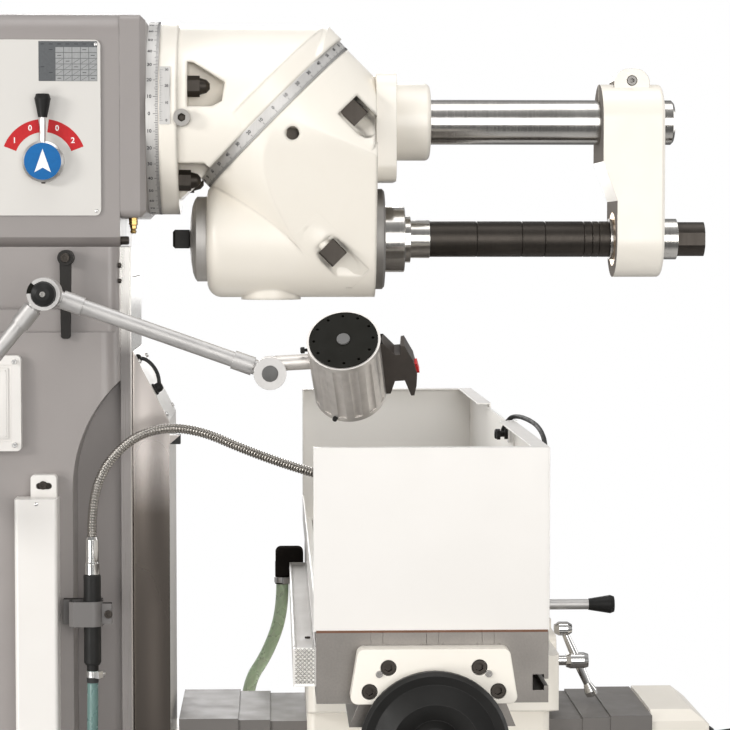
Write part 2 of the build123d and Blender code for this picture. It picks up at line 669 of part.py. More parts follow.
def make_ram():
    width = RAM_W / 2
    outline = Pos(0, (axis_z + RAM_RISE + ram_foot) / 2) * Rectangle(RAM_W, RAM_RISE + RAM_DROP)
    ram = along_y(outline, ram_back_y, ram_end_y)
    long_edges = ram.edges().filter_by(Axis.Y)
    ram = fillet(long_edges.group_by(Axis.Z)[-1], RAM_EDGE_R)
    ram = chamfer(ram.edges().filter_by(Axis.Y).group_by(Axis.Z)[0], 12)
    tongue = Pos(0, ram_foot) * Rot(0, 0, 180) * dovetail(TONGUE_W, TONGUE_FLARE, TONGUE_H)
    ram += along_y(tongue, ram_back_y + 10, ram_end_y)
    ram -= rod(BORE_R, (0, ram_back_y - 1, axis_z), (0, ram_end_y + 1, axis_z))
    inner = width - CASTING_WALL
    ram -= block((-inner, inner), (ram_back_y + CASTING_WALL, ram_end_y - CASTING_WALL),
                 (ram_foot + CASTING_WALL, axis_z + RAM_RISE - CASTING_WALL))
    save("ram", ram)
    face = Pos(0, axis_z - FLANGE_DROP) * RectangleRounded(RAM_W, FLANGE_H, 10)
    flange = along_y(face, RAM_FACE_Y, ram_back_y)
    flange = chamfer(flange.faces().sort_by(Axis.Y)[0].edges(), FLANGE_CHAMFER)
    flange += rod(BOSS_R, (0, RAM_FACE_Y, axis_z), (0, boss_y, axis_z))
    slot = [(STUD_CIRCLE_R - STUD_R - 1, -1), (STUD_CIRCLE_R + STUD_R + 1, -1)]
    deep = STUD_SLOT_DEPTH + STUD_HEAD_T + 4
    slot += [(STUD_CIRCLE_R + STUD_R + 1, STUD_SLOT_DEPTH), (STUD_CIRCLE_R + STUD_HEAD_R + 1, STUD_SLOT_DEPTH),
             (STUD_CIRCLE_R + STUD_HEAD_R + 1, deep), (STUD_CIRCLE_R - STUD_HEAD_R - 1, deep),
             (STUD_CIRCLE_R - STUD_HEAD_R - 1, STUD_SLOT_DEPTH), (STUD_CIRCLE_R - STUD_R - 1, STUD_SLOT_DEPTH)]
    flange -= turned(slot, (0, boss_y, axis_z), (0, 1, 0))
    flange -= rod(BORE_R, (0, boss_y - 1, axis_z), (0, ram_back_y + 1, axis_z))
    save("ram_flange", flange)
    save("swivel_scale_ring", ring(RING_R, BOSS_R, (0, boss_y, axis_z), (0, 1, 0), RING_W))
    plate_z = PANEL_FOOT + PANEL_H / 2
    panel = Pos(PANEL_FRONT_Y + PANEL_L / 2, plate_z) * RectangleRounded(PANEL_L, PANEL_H, 8)
    panel = along_x(panel, -width - PANEL_T, -width)
    panel -= rod(CLAMP_HUB_R, (-width - 5, SELECTOR_Y, SELECTOR_Z), (-width + 5, SELECTOR_Y, SELECTOR_Z))
    save("panel_plate", panel)
    flange_r = MOTOR_R + 10
    motor = ring(flange_r, SHAFT_R + 4, (0, ram_end_y, axis_z), (0, 1, 0), 14)
    core = Circle(MOTOR_R)
    notch = Rectangle(12, 6)
    core -= [loc * notch for loc in PolarLocations(MOTOR_R, MOTOR_FINS)]
    core -= Circle(SHAFT_R + 4)
    motor += along_y(Pos(0, axis_z) * core, ram_end_y + 14, ram_end_y + MOTOR_L - 50)
    motor += turned([(SHAFT_R + 4, MOTOR_L - 50), (MOTOR_R + 2, MOTOR_L - 50), (MOTOR_R + 2, MOTOR_L - 10),
                     (MOTOR_R - 8, MOTOR_L), (0, MOTOR_L), (0, MOTOR_L - 30), (SHAFT_R + 4, MOTOR_L - 30)],
                    (0, ram_end_y, axis_z), (0, 1, 0))
    save("spindle_motor", motor)
    front = (0, ram_back_y - BEARING_W, axis_z)
    rear = (0, ram_end_y - BEARING_W, axis_z)
    save("shaft_bearings", *[ring(BORE_R, SHAFT_R + FIT, at, (0, 1, 0), BEARING_W) for at in (front, rear)])
    gear = bevel_gear((0, JOINT_Y, axis_z), (0, 1, 0), 67.5, 1)
    reach = GEAR_R / tan(radians(67.5))
    shaft = rod(SHAFT_R, (0, JOINT_Y + reach, axis_z), (0, ram_end_y + MOTOR_L - 60, axis_z))
    save("drive_shaft", gear + shaft + rod(1.2, (0, JOINT_Y + reach * GEAR_INNER, axis_z),
                                           (0, JOINT_Y + reach, axis_z)))


def make_ram_levers():
    x = -RAM_W / 2 - PANEL_T
    hub = turned([(0, 0), (SELECTOR_R, 0), (SELECTOR_R, SELECTOR_T - 3), (SELECTOR_R - 3, SELECTOR_T),
                  (0, SELECTOR_T)], (x - GAP, SELECTOR_Y, SELECTOR_Z), (-1, 0, 0))
    hub += rod(CLAMP_HUB_R - FIT, (x - GAP, SELECTOR_Y, SELECTOR_Z), (x + PANEL_T, SELECTOR_Y, SELECTOR_Z))
    middle = x - GAP - SELECTOR_KNOB_R - 1
    tip = SELECTOR_Z + SELECTOR_REACH
    hub += rod(SELECTOR_ROD_R, (middle, SELECTOR_Y, SELECTOR_Z), (middle, SELECTOR_Y, tip - SELECTOR_KNOB_L))
    knob = turned([(0, 0), (SELECTOR_KNOB_R * 0.55, 0), (SELECTOR_KNOB_R, SELECTOR_KNOB_L * 0.8),
                   (SELECTOR_KNOB_R * 0.8, SELECTOR_KNOB_L), (0, SELECTOR_KNOB_L)],
                  (middle, SELECTOR_Y, tip - SELECTOR_KNOB_L), (0, 0, 1))
    save("selector_lever", hub, knob)
    side = -column_x - GAP
    pivot = ram_foot - CLAMP_LEVER_DROP
    lever = rod(CLAMP_HUB_R, (-GUIDE_W / 2 - GAP, CLAMP_LEVER_Y, pivot), (side - CLAMP_LEVER_T - 3, CLAMP_LEVER_Y, pivot))
    tail = pivot - CLAMP_LEVER_L
    arm = shape((CLAMP_LEVER_Y - CLAMP_LEVER_W / 2, pivot), (CLAMP_LEVER_Y + CLAMP_LEVER_W / 2, pivot),
                (CLAMP_LEVER_Y + CLAMP_LEVER_W * 0.4, tail), (CLAMP_LEVER_Y - CLAMP_LEVER_W * 0.4, tail))
    bar = along_x(arm, side - CLAMP_LEVER_T, side)
    save("ram_clamp_lever", lever + fillet(bar.edges().filter_by(Axis.X).group_by(Axis.Z)[0], 4))


def upper_nut_x():
    return sqrt(STUD_CIRCLE_R**2 - UPPER_NUT_RISE**2)


def lower_nut_x():
    return sqrt(STUD_CIRCLE_R**2 - LOWER_NUT_DROP**2)


def make_swivel():
    ring_back = -TILT_RING_W - GAP / 2
    seat = boss_y - GAP
    bracket = rod(SWIVEL_R, (0, seat, axis_z), (0, JOINT_Y - TILT_R, axis_z))
    bracket = split(bracket, bisect_by=tilt_plane.offset(ring_back), keep=Keep.BOTTOM)
    corner = block((-2 * TILT_R, 2 * TILT_R), (TILT_R * 0.35, 2 * TILT_R), (-2 * TILT_R, 0))
    bracket -= tilt_plane.location * (corner - Cylinder(TILT_R + SWIVEL_LIP, 6 * TILT_R))
    bracket += rod(RING_R, (0, seat, axis_z), (0, swivel_seat_y, axis_z))
    collar = Cylinder(TILT_R, COLLAR_T, align=(Align.CENTER, Align.CENTER, Align.MAX))
    bracket += tilt_plane.offset(ring_back).location * collar
    spigot = Cylinder(BOSS_R, 2 * TILT_RING_W, align=(Align.CENTER, Align.CENTER, Align.MAX))
    bracket += tilt_plane.offset(-GAP / 2).location * spigot
    bracket -= rod(BORE_R, (0, seat + 1, axis_z), (0, JOINT_Y - BORE_R * 1.5, axis_z))
    bore = Cylinder(ANGLE_BORE_R, 60, align=(Align.CENTER, Align.CENTER, Align.MAX))
    bracket -= tilt_plane.offset(1).location * bore
    up = axis_z + UPPER_NUT_RISE
    down = axis_z - LOWER_NUT_DROP
    seat_y = swivel_seat_y - UPPER_SEAT
    pocket = shape((seat_y, up - 27), (seat_y, up + 32), (seat_y - 8, up + 31), (seat_y - 49, up + 5),
                   (seat_y - 45, up - 20), (seat_y - 32, up - 27))
    notch = shape((swivel_seat_y, down + 22), (swivel_seat_y, down - 60), (swivel_seat_y - 60, down - 60),
                  (swivel_seat_y - 60, down), (swivel_seat_y - 34, down + 22))
    cuts = both_sides(along_x(pocket, upper_nut_x() - 20, SWIVEL_R + 10))
    cuts += both_sides(along_x(notch, lower_nut_x() - 22, SWIVEL_R + 10))
    for cut in cuts:
        bracket -= cut
    places = [(side * upper_nut_x(), up, seat_y) for side in (-1, 1)]
    places += [(side * lower_nut_x(), down, swivel_seat_y) for side in (-1, 1)]
    studs = []
    head_y = boss_y + STUD_SLOT_DEPTH + GAP
    for x, z, y in places:
        bracket -= rod(STUD_R + 0.5, (x, seat + 1, z), (x, y - 1, z))
        stud = rod(STUD_R, (x, head_y, z), (x, y - 4, z))
        stud += rod(STUD_HEAD_R, (x, head_y, z), (x, head_y + STUD_HEAD_T, z))
        studs.append(stud + hex_nut((x, y, z), (0, -1, 0), NUT_AF, NUT_L))
    plug_y = swivel_seat_y - INDEX_R * 0.6
    bracket += rod(INDEX_R, (-SWIVEL_R + 20, plug_y, axis_z - 5), (-RING_R - 9, plug_y, axis_z - 5))
    bracket -= Plane(origin=(-RING_R - 9, plug_y, axis_z - 5), z_dir=(1, 0, 0)).location * extrude(
        RegularPolygon(INDEX_R * 0.45, 6, major_radius=False), 8)
    save("swivel_bracket", bracket)
    save("swivel_studs", *studs)
    band = Cylinder(TILT_R + 0.5, TILT_RING_W, align=(Align.CENTER, Align.CENTER, Align.MIN))
    band -= Cylinder(BOSS_R, 4 * TILT_RING_W)
    save("tilt_scale_ring", tilt_plane.offset(ring_back).location * band)


def bolt_places():
    """Square clamp bolts around the tilt axis: (x, across, start along the axis)."""
    upper = 53.0
    lower = 163.0
    return [(side * SQUARE_BOLT_OFF, SQUARE_BOLT_OFF - 5, upper) for side in (-1, 1)] + [
        (side * SQUARE_BOLT_OFF, -SQUARE_BOLT_OFF, lower) for side in (-1, 1)]


def make_head():
    cheeks = make_hull([*(Pos(0, SWIVEL_RISE) * Circle(TILT_R)).edges(), *Circle(HOUSING_R).edges()])
    head = along_y(Pos(0, SPINDLE_Z) * cheeks, HEAD_FACE_Y, HEAD_REAR_Y)
    trim = tilt_plane.location * Cylinder(TILT_R, 400, align=(Align.CENTER, Align.CENTER, Align.MIN))
    head = head & trim
    housing = rod(HOUSING_R, (0, HEAD_FACE_Y, SPINDLE_Z), (0, HEAD_REAR_Y, SPINDLE_Z))
    head += fillet(housing.edges().group_by(Axis.Y)[-1], HEAD_REAR_FILLET * 0.75)
    head = split(head, bisect_by=tilt_plane.offset(GAP / 2), keep=Keep.TOP)
    middle_y = (HEAD_FACE_Y + HEAD_REAR_Y) / 2 + 27
    head += rod(DRAIN_BOSS_R, (0, middle_y, SPINDLE_Z), (0, middle_y, SPINDLE_Z - HOUSING_R - DRAIN_BOSS_T))
    head -= rod(HEAD_BORE_R, (0, HEAD_FACE_Y - 1, SPINDLE_Z), (0, HEAD_REAR_Y + 1, SPINDLE_Z))
    drive_l = SWIVEL_RISE * sqrt(2) - 70
    head -= tilt_plane.location * Cylinder(ANGLE_BORE_R, drive_l, align=(Align.CENTER, Align.CENTER, Align.MIN))
    bolts = []
    for x, across, start in bolt_places():
        frame = Plane(origin=tilt_plane.from_local_coords((x, across, start)), x_dir=(1, 0, 0), z_dir=tilt_axis)
        side = 1 if x > 0 else -1
        pocket = block((-SQUARE_BOLT * 0.62, 60), (-SQUARE_BOLT * 0.66, SQUARE_BOLT * 0.66), (0, 62))
        head -= frame.location * (pocket if side > 0 else mirror(pocket, about=Plane.YZ))
        shank = Cylinder(STUD_R, 36, align=(Align.CENTER, Align.CENTER, Align.MAX))
        head -= frame.location * shank
        cap = fillet(Box(SQUARE_BOLT, SQUARE_BOLT, SQUARE_BOLT_L,
                         align=(Align.CENTER, Align.CENTER, Align.MIN)).edges().filter_by(Axis.Z), 2)
        bolts.append(frame.location * (cap + shank))
    hole = tilt_plane.from_local_coords((-TILT_R - 5, -5, 29.4))
    head -= rod(LIFT_HOLE_R, hole, hole + Vector(30, 0, 0))
    save("head_casting", head)
    save("tilt_bolts", *bolts)
    cap_y = HEAD_REAR_Y
    rear_cap = turned([(DRAWBAR_R + 5, REAR_CAP_L), (REAR_CAP_R - 28, REAR_CAP_L - 1),
                       (REAR_CAP_R - 12, REAR_CAP_L - 3.5), (REAR_CAP_R - 4, REAR_CAP_L - 6.5),
                       (REAR_CAP_R, REAR_CAP_L - 9.5), (REAR_CAP_R, 0), (REAR_JOURNAL_R + 4, 0),
                       (REAR_JOURNAL_R + 4, REAR_CAP_L * 0.55),
                       (DRAWBAR_R + 5, REAR_CAP_L * 0.55)], (0, cap_y, SPINDLE_Z), (0, 1, 0))
    nose_cap = turned([(FRONT_JOURNAL_R + GAP, 0), (NOSE_CAP_R, 0), (NOSE_CAP_R, NOSE_CAP_T - 3),
                       (NOSE_CAP_R - 3, NOSE_CAP_T - GAP), (FRONT_JOURNAL_R + GAP, NOSE_CAP_T - GAP)],
                      (0, HEAD_FACE_Y, SPINDLE_Z), (0, -1, 0))
    save("spindle_caps", rear_cap, nose_cap)
    front = ring(HEAD_BORE_R, FRONT_JOURNAL_R + FIT, (0, HEAD_FACE_Y, SPINDLE_Z), (0, 1, 0), FRONT_BEARING_L)
    rear = ring(HEAD_BORE_R, REAR_JOURNAL_R + FIT, (0, HEAD_REAR_Y, SPINDLE_Z), (0, -1, 0), REAR_BEARING_L)
    apex = (0, JOINT_Y, axis_z)
    meeting = (0, cross_y, SPINDLE_Z)
    top_gear = bevel_gear(apex, tilt_axis, 67.5, ANGLE_SHAFT_R)
    low_gear = bevel_gear(meeting, tilt_axis * -1, 22.5, ANGLE_SHAFT_R)
    start = tilt_plane.from_local_coords((0, 0, GEAR_R / tan(radians(67.5)) * GEAR_INNER))
    drop = SWIVEL_RISE * sqrt(2) - GEAR_R / tan(radians(22.5)) * GEAR_INNER
    end = tilt_plane.from_local_coords((0, 0, drop))
    save("angle_shaft", top_gear + low_gear + rod(ANGLE_SHAFT_R, start, end))
    seat = SWIVEL_RISE * sqrt(2) - GEAR_R / tan(radians(22.5)) - 32
    race = Cylinder(ANGLE_BORE_R, 18, align=(Align.CENTER, Align.CENTER, Align.MIN))
    race -= Cylinder(ANGLE_SHAFT_R + FIT, 60)
    save("head_bearings", front, rear, tilt_plane.offset(seat).location * race)


def make_overarm():
    z = SPINDLE_Z + BAR_RISE
    face = HEAD_FACE_Y
    hub_end = face - BRACKET_FLANGE_T - BRACKET_HUB_L
    foot = NOSE_CAP_R + 9
    plate = Pos(0, SPINDLE_Z + (foot + BAR_RISE + 63) / 2) * RectangleRounded(132, BAR_RISE + 63 - foot, 22)
    bracket = along_y(plate, face - BRACKET_FLANGE_T, face)
    hub = rod(BRACKET_HUB_R, (0, face - 5, z), (0, hub_end, z))
    bracket += fillet(hub.edges().group_by(Axis.Y)[0], 7)
    bracket -= rod(BAR_R, (0, face + 1, z), (0, hub_end - 1, z))
    for x in (-50, 50):
        for rise in (foot + 14, BAR_RISE + 49):
            at = (x, face - BRACKET_FLANGE_T, SPINDLE_Z + rise)
            bracket -= ring(8, 6.5, at, (0, 1, 0), 9)
            bracket -= Plane(origin=at, z_dir=(0, 1, 0)).location * extrude(
                RegularPolygon(3.5, 6, major_radius=False), 6)
    save("overarm_bracket", bracket)
    bar = rod(BAR_R, (0, face, z), (0, BAR_END_Y, z))
    save("overarm_bar", chamfer(bar.edges().group_by(Axis.Y)[0], 3))


def make_support():
    z = SPINDLE_Z + BAR_RISE
    low_back = SUPPORT_BACK_Y - SUPPORT_STEP
    outline = make_hull([*(Pos(0, BAR_RISE) * Circle(SUPPORT_R)).edges(), *Circle(SUPPORT_R).edges()])
    support = along_y(Pos(0, SPINDLE_Z) * outline, SUPPORT_FRONT_Y, SUPPORT_BACK_Y)
    support -= along_x(shape((SUPPORT_BACK_Y + 1, z - SUPPORT_R), (low_back, SPINDLE_Z + SUPPORT_R),
                             (low_back, SPINDLE_Z - SUPPORT_R - 1),
                             (SUPPORT_BACK_Y + 1, SPINDLE_Z - SUPPORT_R - 1)), -SUPPORT_R - 1, SUPPORT_R + 1)
    support = fillet(support.edges().group_by(Axis.Y)[0], 5)
    lug_y = (SUPPORT_BACK_Y + SUPPORT_FRONT_Y) / 2
    lug_top = SPINDLE_Z + SUPPORT_LUG_TOP
    lug = Pos(lug_y, (z + lug_top) / 2) * Rectangle(SUPPORT_LUG_W, lug_top - z)
    lug = along_x(fillet(lug.vertices().group_by(Axis.Y)[-1], SUPPORT_LUG_W * 0.42), -24, 24)
    screw_z = lug_top - 16
    support += lug
    support -= rod(BAR_R + FIT, (0, SUPPORT_FRONT_Y - 1, z), (0, SUPPORT_BACK_Y + 1, z))
    support -= block((-SUPPORT_SLIT / 2, SUPPORT_SLIT / 2), (SUPPORT_FRONT_Y - 1, SUPPORT_BACK_Y + 1),
                     (z, lug_top + 1))
    support -= rod(BUSH_R, (0, SUPPORT_FRONT_Y - 1, SPINDLE_Z), (0, SUPPORT_BACK_Y + 1, SPINDLE_Z))
    support -= rod(6, (-30, lug_y, screw_z), (23, lug_y, screw_z))
    support -= rod(7, (-25, lug_y, screw_z), (-15, lug_y, screw_z))
    bush = ring(BUSH_R, JOURNAL_R + FIT, (0, SUPPORT_FRONT_Y, SPINDLE_Z), (0, 1, 0),
                low_back - SUPPORT_FRONT_Y)
    save("support_bush", bush)
    screw = rod(5, (-15, lug_y, screw_z), (23, lug_y, screw_z)) + rod(6.2, (-15, lug_y, screw_z), (-24, lug_y, screw_z))
    screw -= Plane(origin=(-25, lug_y, screw_z), z_dir=(1, 0, 0)).location * extrude(
        RegularPolygon(3, 6, major_radius=False), 6)
    save("arbor_support", support + screw)


def make_spindle():
    tail = HEAD_REAR_Y + 8 - nose_y
    flange_back = NOSE_L + GAP
    shoulder = NOSE_L + NOSE_CAP_T + FRONT_BEARING_L
    hole = DRAWBAR_R + 0.5
    taper_end = TAPER_R - TAPER_L * TAPER_SLOPE
    spindle = turned([(TAPER_R, 0), (NOSE_R - 1, 0), (NOSE_R, 1), (NOSE_R, NOSE_L), (FRONT_JOURNAL_R, NOSE_L),
                      (FRONT_JOURNAL_R, shoulder), (REAR_JOURNAL_R, shoulder), (REAR_JOURNAL_R, tail),
                      (hole, tail), (hole, TAPER_L), (taper_end, TAPER_L)],
                     (0, nose_y, SPINDLE_Z), (0, 1, 0))
    key_x = (NOSE_R + ARBOR_FLANGE_R) / 2 + 2
    keys = []
    for side in (-1, 1):
        span = sorted((side * (key_x - KEY_H / 2 + 4), side * (NOSE_R - 1)))
        key = block(span, (nose_y - 7, nose_y + 8), (SPINDLE_Z - KEY_W / 2, SPINDLE_Z + KEY_W / 2))
        spindle -= key
        keys.append(key)
    gear = bevel_gear((0, cross_y, SPINDLE_Z), (0, 1, 0), 22.5, REAR_JOURNAL_R)
    save("spindle", spindle, gear, *keys)
    end_y = HEAD_REAR_Y + REAR_CAP_L
    start_y = nose_y + TAPER_L
    drawbar = rod(DRAWBAR_R, (0, start_y, SPINDLE_Z), (0, end_y + 4, SPINDLE_Z))
    drawbar += rod(DRAWBAR_R + 3, (0, HEAD_REAR_Y + 9, SPINDLE_Z), (0, end_y + 1, SPINDLE_Z))
    square = block((-DRAWBAR_SQUARE / 2, DRAWBAR_SQUARE / 2), (end_y + 1, end_y + 1 + DRAWBAR_SQUARE_L),
                   (SPINDLE_Z - DRAWBAR_SQUARE / 2, SPINDLE_Z + DRAWBAR_SQUARE / 2))
    save("drawbar", drawbar + chamfer(square.faces().sort_by(Axis.Y)[-1].edges(), 3))
    shank = taper_end
    ahead = ARBOR_FLANGE_T + COLLAR_L + sum(SPACERS) + JOURNAL_L + ARBOR_NUT_L
    arbor = turned([(0, -TAPER_L), (shank, -TAPER_L), (TAPER_R, 0), (ARBOR_FLANGE_R, 0),
                    (ARBOR_FLANGE_R, ARBOR_FLANGE_T), (ARBOR_R, ARBOR_FLANGE_T), (ARBOR_R, ahead - 3),
                    (ARBOR_R - 3, ahead), (0, ahead)], (0, nose_y, SPINDLE_Z), (0, -1, 0))
    for key in keys:
        arbor -= key
    rings = []
    place = nose_y - ARBOR_FLANGE_T - COLLAR_L
    collar = ring(COLLAR_R, ARBOR_R, (0, nose_y - ARBOR_FLANGE_T, SPINDLE_Z), (0, -1, 0), COLLAR_L)
    save("arbor", arbor, collar)
    for length in SPACERS:
        edge = SPACER_EDGE
        rings.append(turned([(ARBOR_R, 0), (SPACER_R - edge, 0), (SPACER_R, edge), (SPACER_R, length - edge),
                             (SPACER_R - edge, length), (ARBOR_R, length)], (0, place, SPINDLE_Z), (0, -1, 0)))
        place -= length
    rings.append(ring(JOURNAL_R, ARBOR_R, (0, place, SPINDLE_Z), (0, -1, 0), JOURNAL_L))
    nut = Circle(ARBOR_NUT_R)
    flat = Pos(0, ARBOR_NUT_R) * Rectangle(40, 3)
    nut -= [Rot(0, 0, turn) * flat for turn in (0, 90, 180, 270)]
    nut -= Circle(ARBOR_R)
    end = place - JOURNAL_L
    save("arbor_spacers", *rings, along_y(Pos(0, SPINDLE_Z) * nut, end - ARBOR_NUT_L + 2, end))


def make_table():
    half = TABLE_L / 2
    table = block((-half, half), (table_front_y, TABLE_REAR_Y), (table_foot, TABLE_TOP))
    for number in range(SLOT_COUNT):
        y = table_y + (number - (SLOT_COUNT - 1) / 2) * SLOT_PITCH
        neck_foot = TABLE_TOP - SLOT_NECK_H
        table -= block((-half - 1, half + 1), (y - SLOT_NECK_W / 2, y + SLOT_NECK_W / 2), (neck_foot - 1, TABLE_TOP + 1))
        table -= block((-half - 1, half + 1), (y - SLOT_HEAD_W / 2, y + SLOT_HEAD_W / 2),
                       (neck_foot - SLOT_HEAD_H, neck_foot))
    dog_z = TABLE_TOP - DOG_SLOT_DROP
    deep = table_front_y + 5 + DOG_SLOT_DEPTH
    table -= block((-half - 1, half + 1), (table_front_y - 1, deep),
                   (dog_z - DOG_SLOT_NECK / 2, dog_z + DOG_SLOT_NECK / 2))
    table -= block((-half - 1, half + 1), (table_front_y + 5, deep),
                   (dog_z - DOG_SLOT_HEAD / 2, dog_z + DOG_SLOT_HEAD / 2))
    tail = Pos(table_y, table_foot) * Rot(0, 0, 180) * dovetail(DOVE_W, DOVE_FLARE, DOVE_H)
    table += along_x(tail, -half, half)
    table -= rod(SCREW_R + 4, (-half - 1, table_y, screw_z), (half + 1, table_y, screw_z))
    save("table", table)
    top = TABLE_TOP - END_BRACKET_DROP
    foot = top - END_BRACKET_H
    brackets = []
    screws = []
    for side in (-1, 1):
        face = side * half
        outer = side * (half + END_BRACKET_T)
        low, high = sorted((face, outer))
        plate = shape((table_y - END_BRACKET_TOP_W / 2, top), (table_y + END_BRACKET_TOP_W / 2, top),
                      (table_y + END_BRACKET_FOOT_W / 2, foot), (table_y - END_BRACKET_FOOT_W / 2, foot))
        bracket = along_x(fillet(plate.vertices(), 8), low, high)
        lobe = make_hull([*(Pos(table_y, screw_z) * Circle(END_HUB_R)).edges(),
                          *(Pos(table_y, foot + 10) * Circle(END_HUB_R * 1.5)).edges()])
        bracket += along_x(lobe, low, high) & block((low, high), (table_front_y, TABLE_REAR_Y), (0, top))
        bracket -= rod(SCREW_NECK_R + FIT, (low - 1, table_y, screw_z), (high + 1, table_y, screw_z))
        for across, drop in ((-58, 21), (58, 21), (-82, 48), (82, 48)):
            y = table_y + across * 0.88
            z = top - drop
            bracket -= rod(CAP_SCREW_RECESS, (outer, y, z), (outer - side * 11, y, z))
            seat = (outer - side * 11, y, z)
            bracket -= rod(CAP_SCREW_R * 0.62, seat, (seat[0] - side * 18, y, z))
            screw = cap_screw(seat, (side, 0, 0), CAP_SCREW_R)
            screws.append(screw & block((min(face, outer), max(face, outer)), (-2000, 0), (0, 2000)))
        brackets.append(bracket)
    save("end_brackets", *brackets)
    save("bracket_screws", *screws)


def make_table_screw():
    half = TABLE_L / 2
    near = -half - END_BRACKET_T
    screw = rod(SCREW_R, (-half + GAP, table_y, screw_z), (half - GAP, table_y, screw_z))
    screw += rod(SCREW_NECK_R, (near - 34, table_y, screw_z), (half + END_BRACKET_T + 10, table_y, screw_z))
    wheel_at = (near - 8, table_y, screw_z)
    wheel = handwheel(wheel_at, (-1, 0, 0), WHEEL_R, WHEEL_T, SCREW_NECK_R)
    foot = (near - 10, table_y, screw_z - WHEEL_R + 14)
    wheel += rod(5, foot, (foot[0] - 14, foot[1], foot[2]))
    wheel += grip((foot[0] - 14, foot[1], foot[2]), (-1, 0, 0), WHEEL_HANDLE_L, 11)
    save("table_handwheel", wheel, screw)


def make_guard():
    half = TABLE_L / 2
    low = TABLE_TOP
    high = TABLE_TOP + GUARD_H
    rear = TABLE_REAR_Y + 3
    front = table_front_y - 1
    guard = []
    for side in (-1, 1):
        face, inner = side * half, side * (half - SHEET)
        lip = side * (half - GUARD_FOLD)
        panel = block(sorted((inner, face)), (front + SHEET, rear), (low, high))
        panel += block(sorted((lip, face)), (front + SHEET, rear), (high - SHEET, high))
        panel += block(sorted((lip, face)), (rear - SHEET, rear), (low + GUARD_REAR_H + 1, high))
        panel += block(sorted((lip, face)), (front + SHEET, rear - SHEET), (low, low + SHEET))
        guard.append(panel)
    spans = ((-half, GUARD_DOOR_FROM), (GUARD_DOOR_TO, half))
    for start, stop in spans:
        panel = block((start, stop), (front, front + SHEET), (low, high))
        rim = (max(start, GUARD_FOLD - half), min(stop, half - GUARD_FOLD))
        panel += block(rim, (front, front + GUARD_RIM), (high - SHEET, high))
        guard.append(panel)
    door = block((GUARD_DOOR_FROM - 20, GUARD_DOOR_TO + 20), (front + SHEET, front + 2 * SHEET), (low, high - 6))
    guard.append(door)
    wall = block((-half + SHEET, half - SHEET), (rear - SHEET, rear), (low, low + GUARD_REAR_H))
    wall += block((-half + SHEET, half - SHEET), (rear - GUARD_FOLD, rear), (low, low + SHEET))
    guard[0] = guard[0] + wall + guard.pop(1)
    save("splash_guard", *guard)


def make_trough():
    rear = TABLE_REAR_Y
    outer = rear + TROUGH_W
    top = TABLE_TOP - TROUGH_DROP
    foot = top - TROUGH_H
    trough = block((TROUGH_FROM, TROUGH_TO), (rear, outer), (foot, top))
    trough -= block((TROUGH_FROM - 1, TROUGH_TO - SHEET), (rear + SHEET, outer - SHEET), (foot + SHEET, top + 1))
    screen = block((TROUGH_FROM, TROUGH_FROM + 2), (rear + SHEET, outer - SHEET), (foot + SHEET, top))
    for row in range(8):
        for cell in range(5):
            y = rear + SHEET + 2.6 + cell * (TROUGH_W - 2 * SHEET - 2) / 5
            z = foot + SHEET + 2.6 + row * (TROUGH_H - SHEET - 2) / 8
            screen -= block((TROUGH_FROM - 1, TROUGH_FROM + 3), (y - 1.1, y + 2.2), (z - 1.1, z + 2.6))
    elbow = block((TROUGH_TO, ELBOW_X + 12), (ELBOW_Y - 30, ELBOW_Y + 10), (top - 19, top + 21))
    elbow = fillet(elbow.edges().filter_by(Axis.X), 8)
    elbow += rod(HOSE_R + 1.5, (ELBOW_X, ELBOW_Y, top), (ELBOW_X, ELBOW_Y, ELBOW_FOOT))
    save("coolant_trough", trough, screen, elbow)


def knee_outline():
    """Side view of the knee: flat top, deep back on the ways, underside swept up to the toe."""
    back = WAY_Y - GAP
    top_line = Polyline((back, KNEE_FOOT), (back, KNEE_TOP), (KNEE_FRONT_Y, KNEE_TOP), (KNEE_FRONT_Y, KNEE_TOE))
    belly = ThreePointArc((KNEE_FRONT_Y, KNEE_TOE), (LIFT_Y - 60, KNEE_FOOT + 8), (back, KNEE_FOOT))
    return make_face([*top_line.edges(), belly])


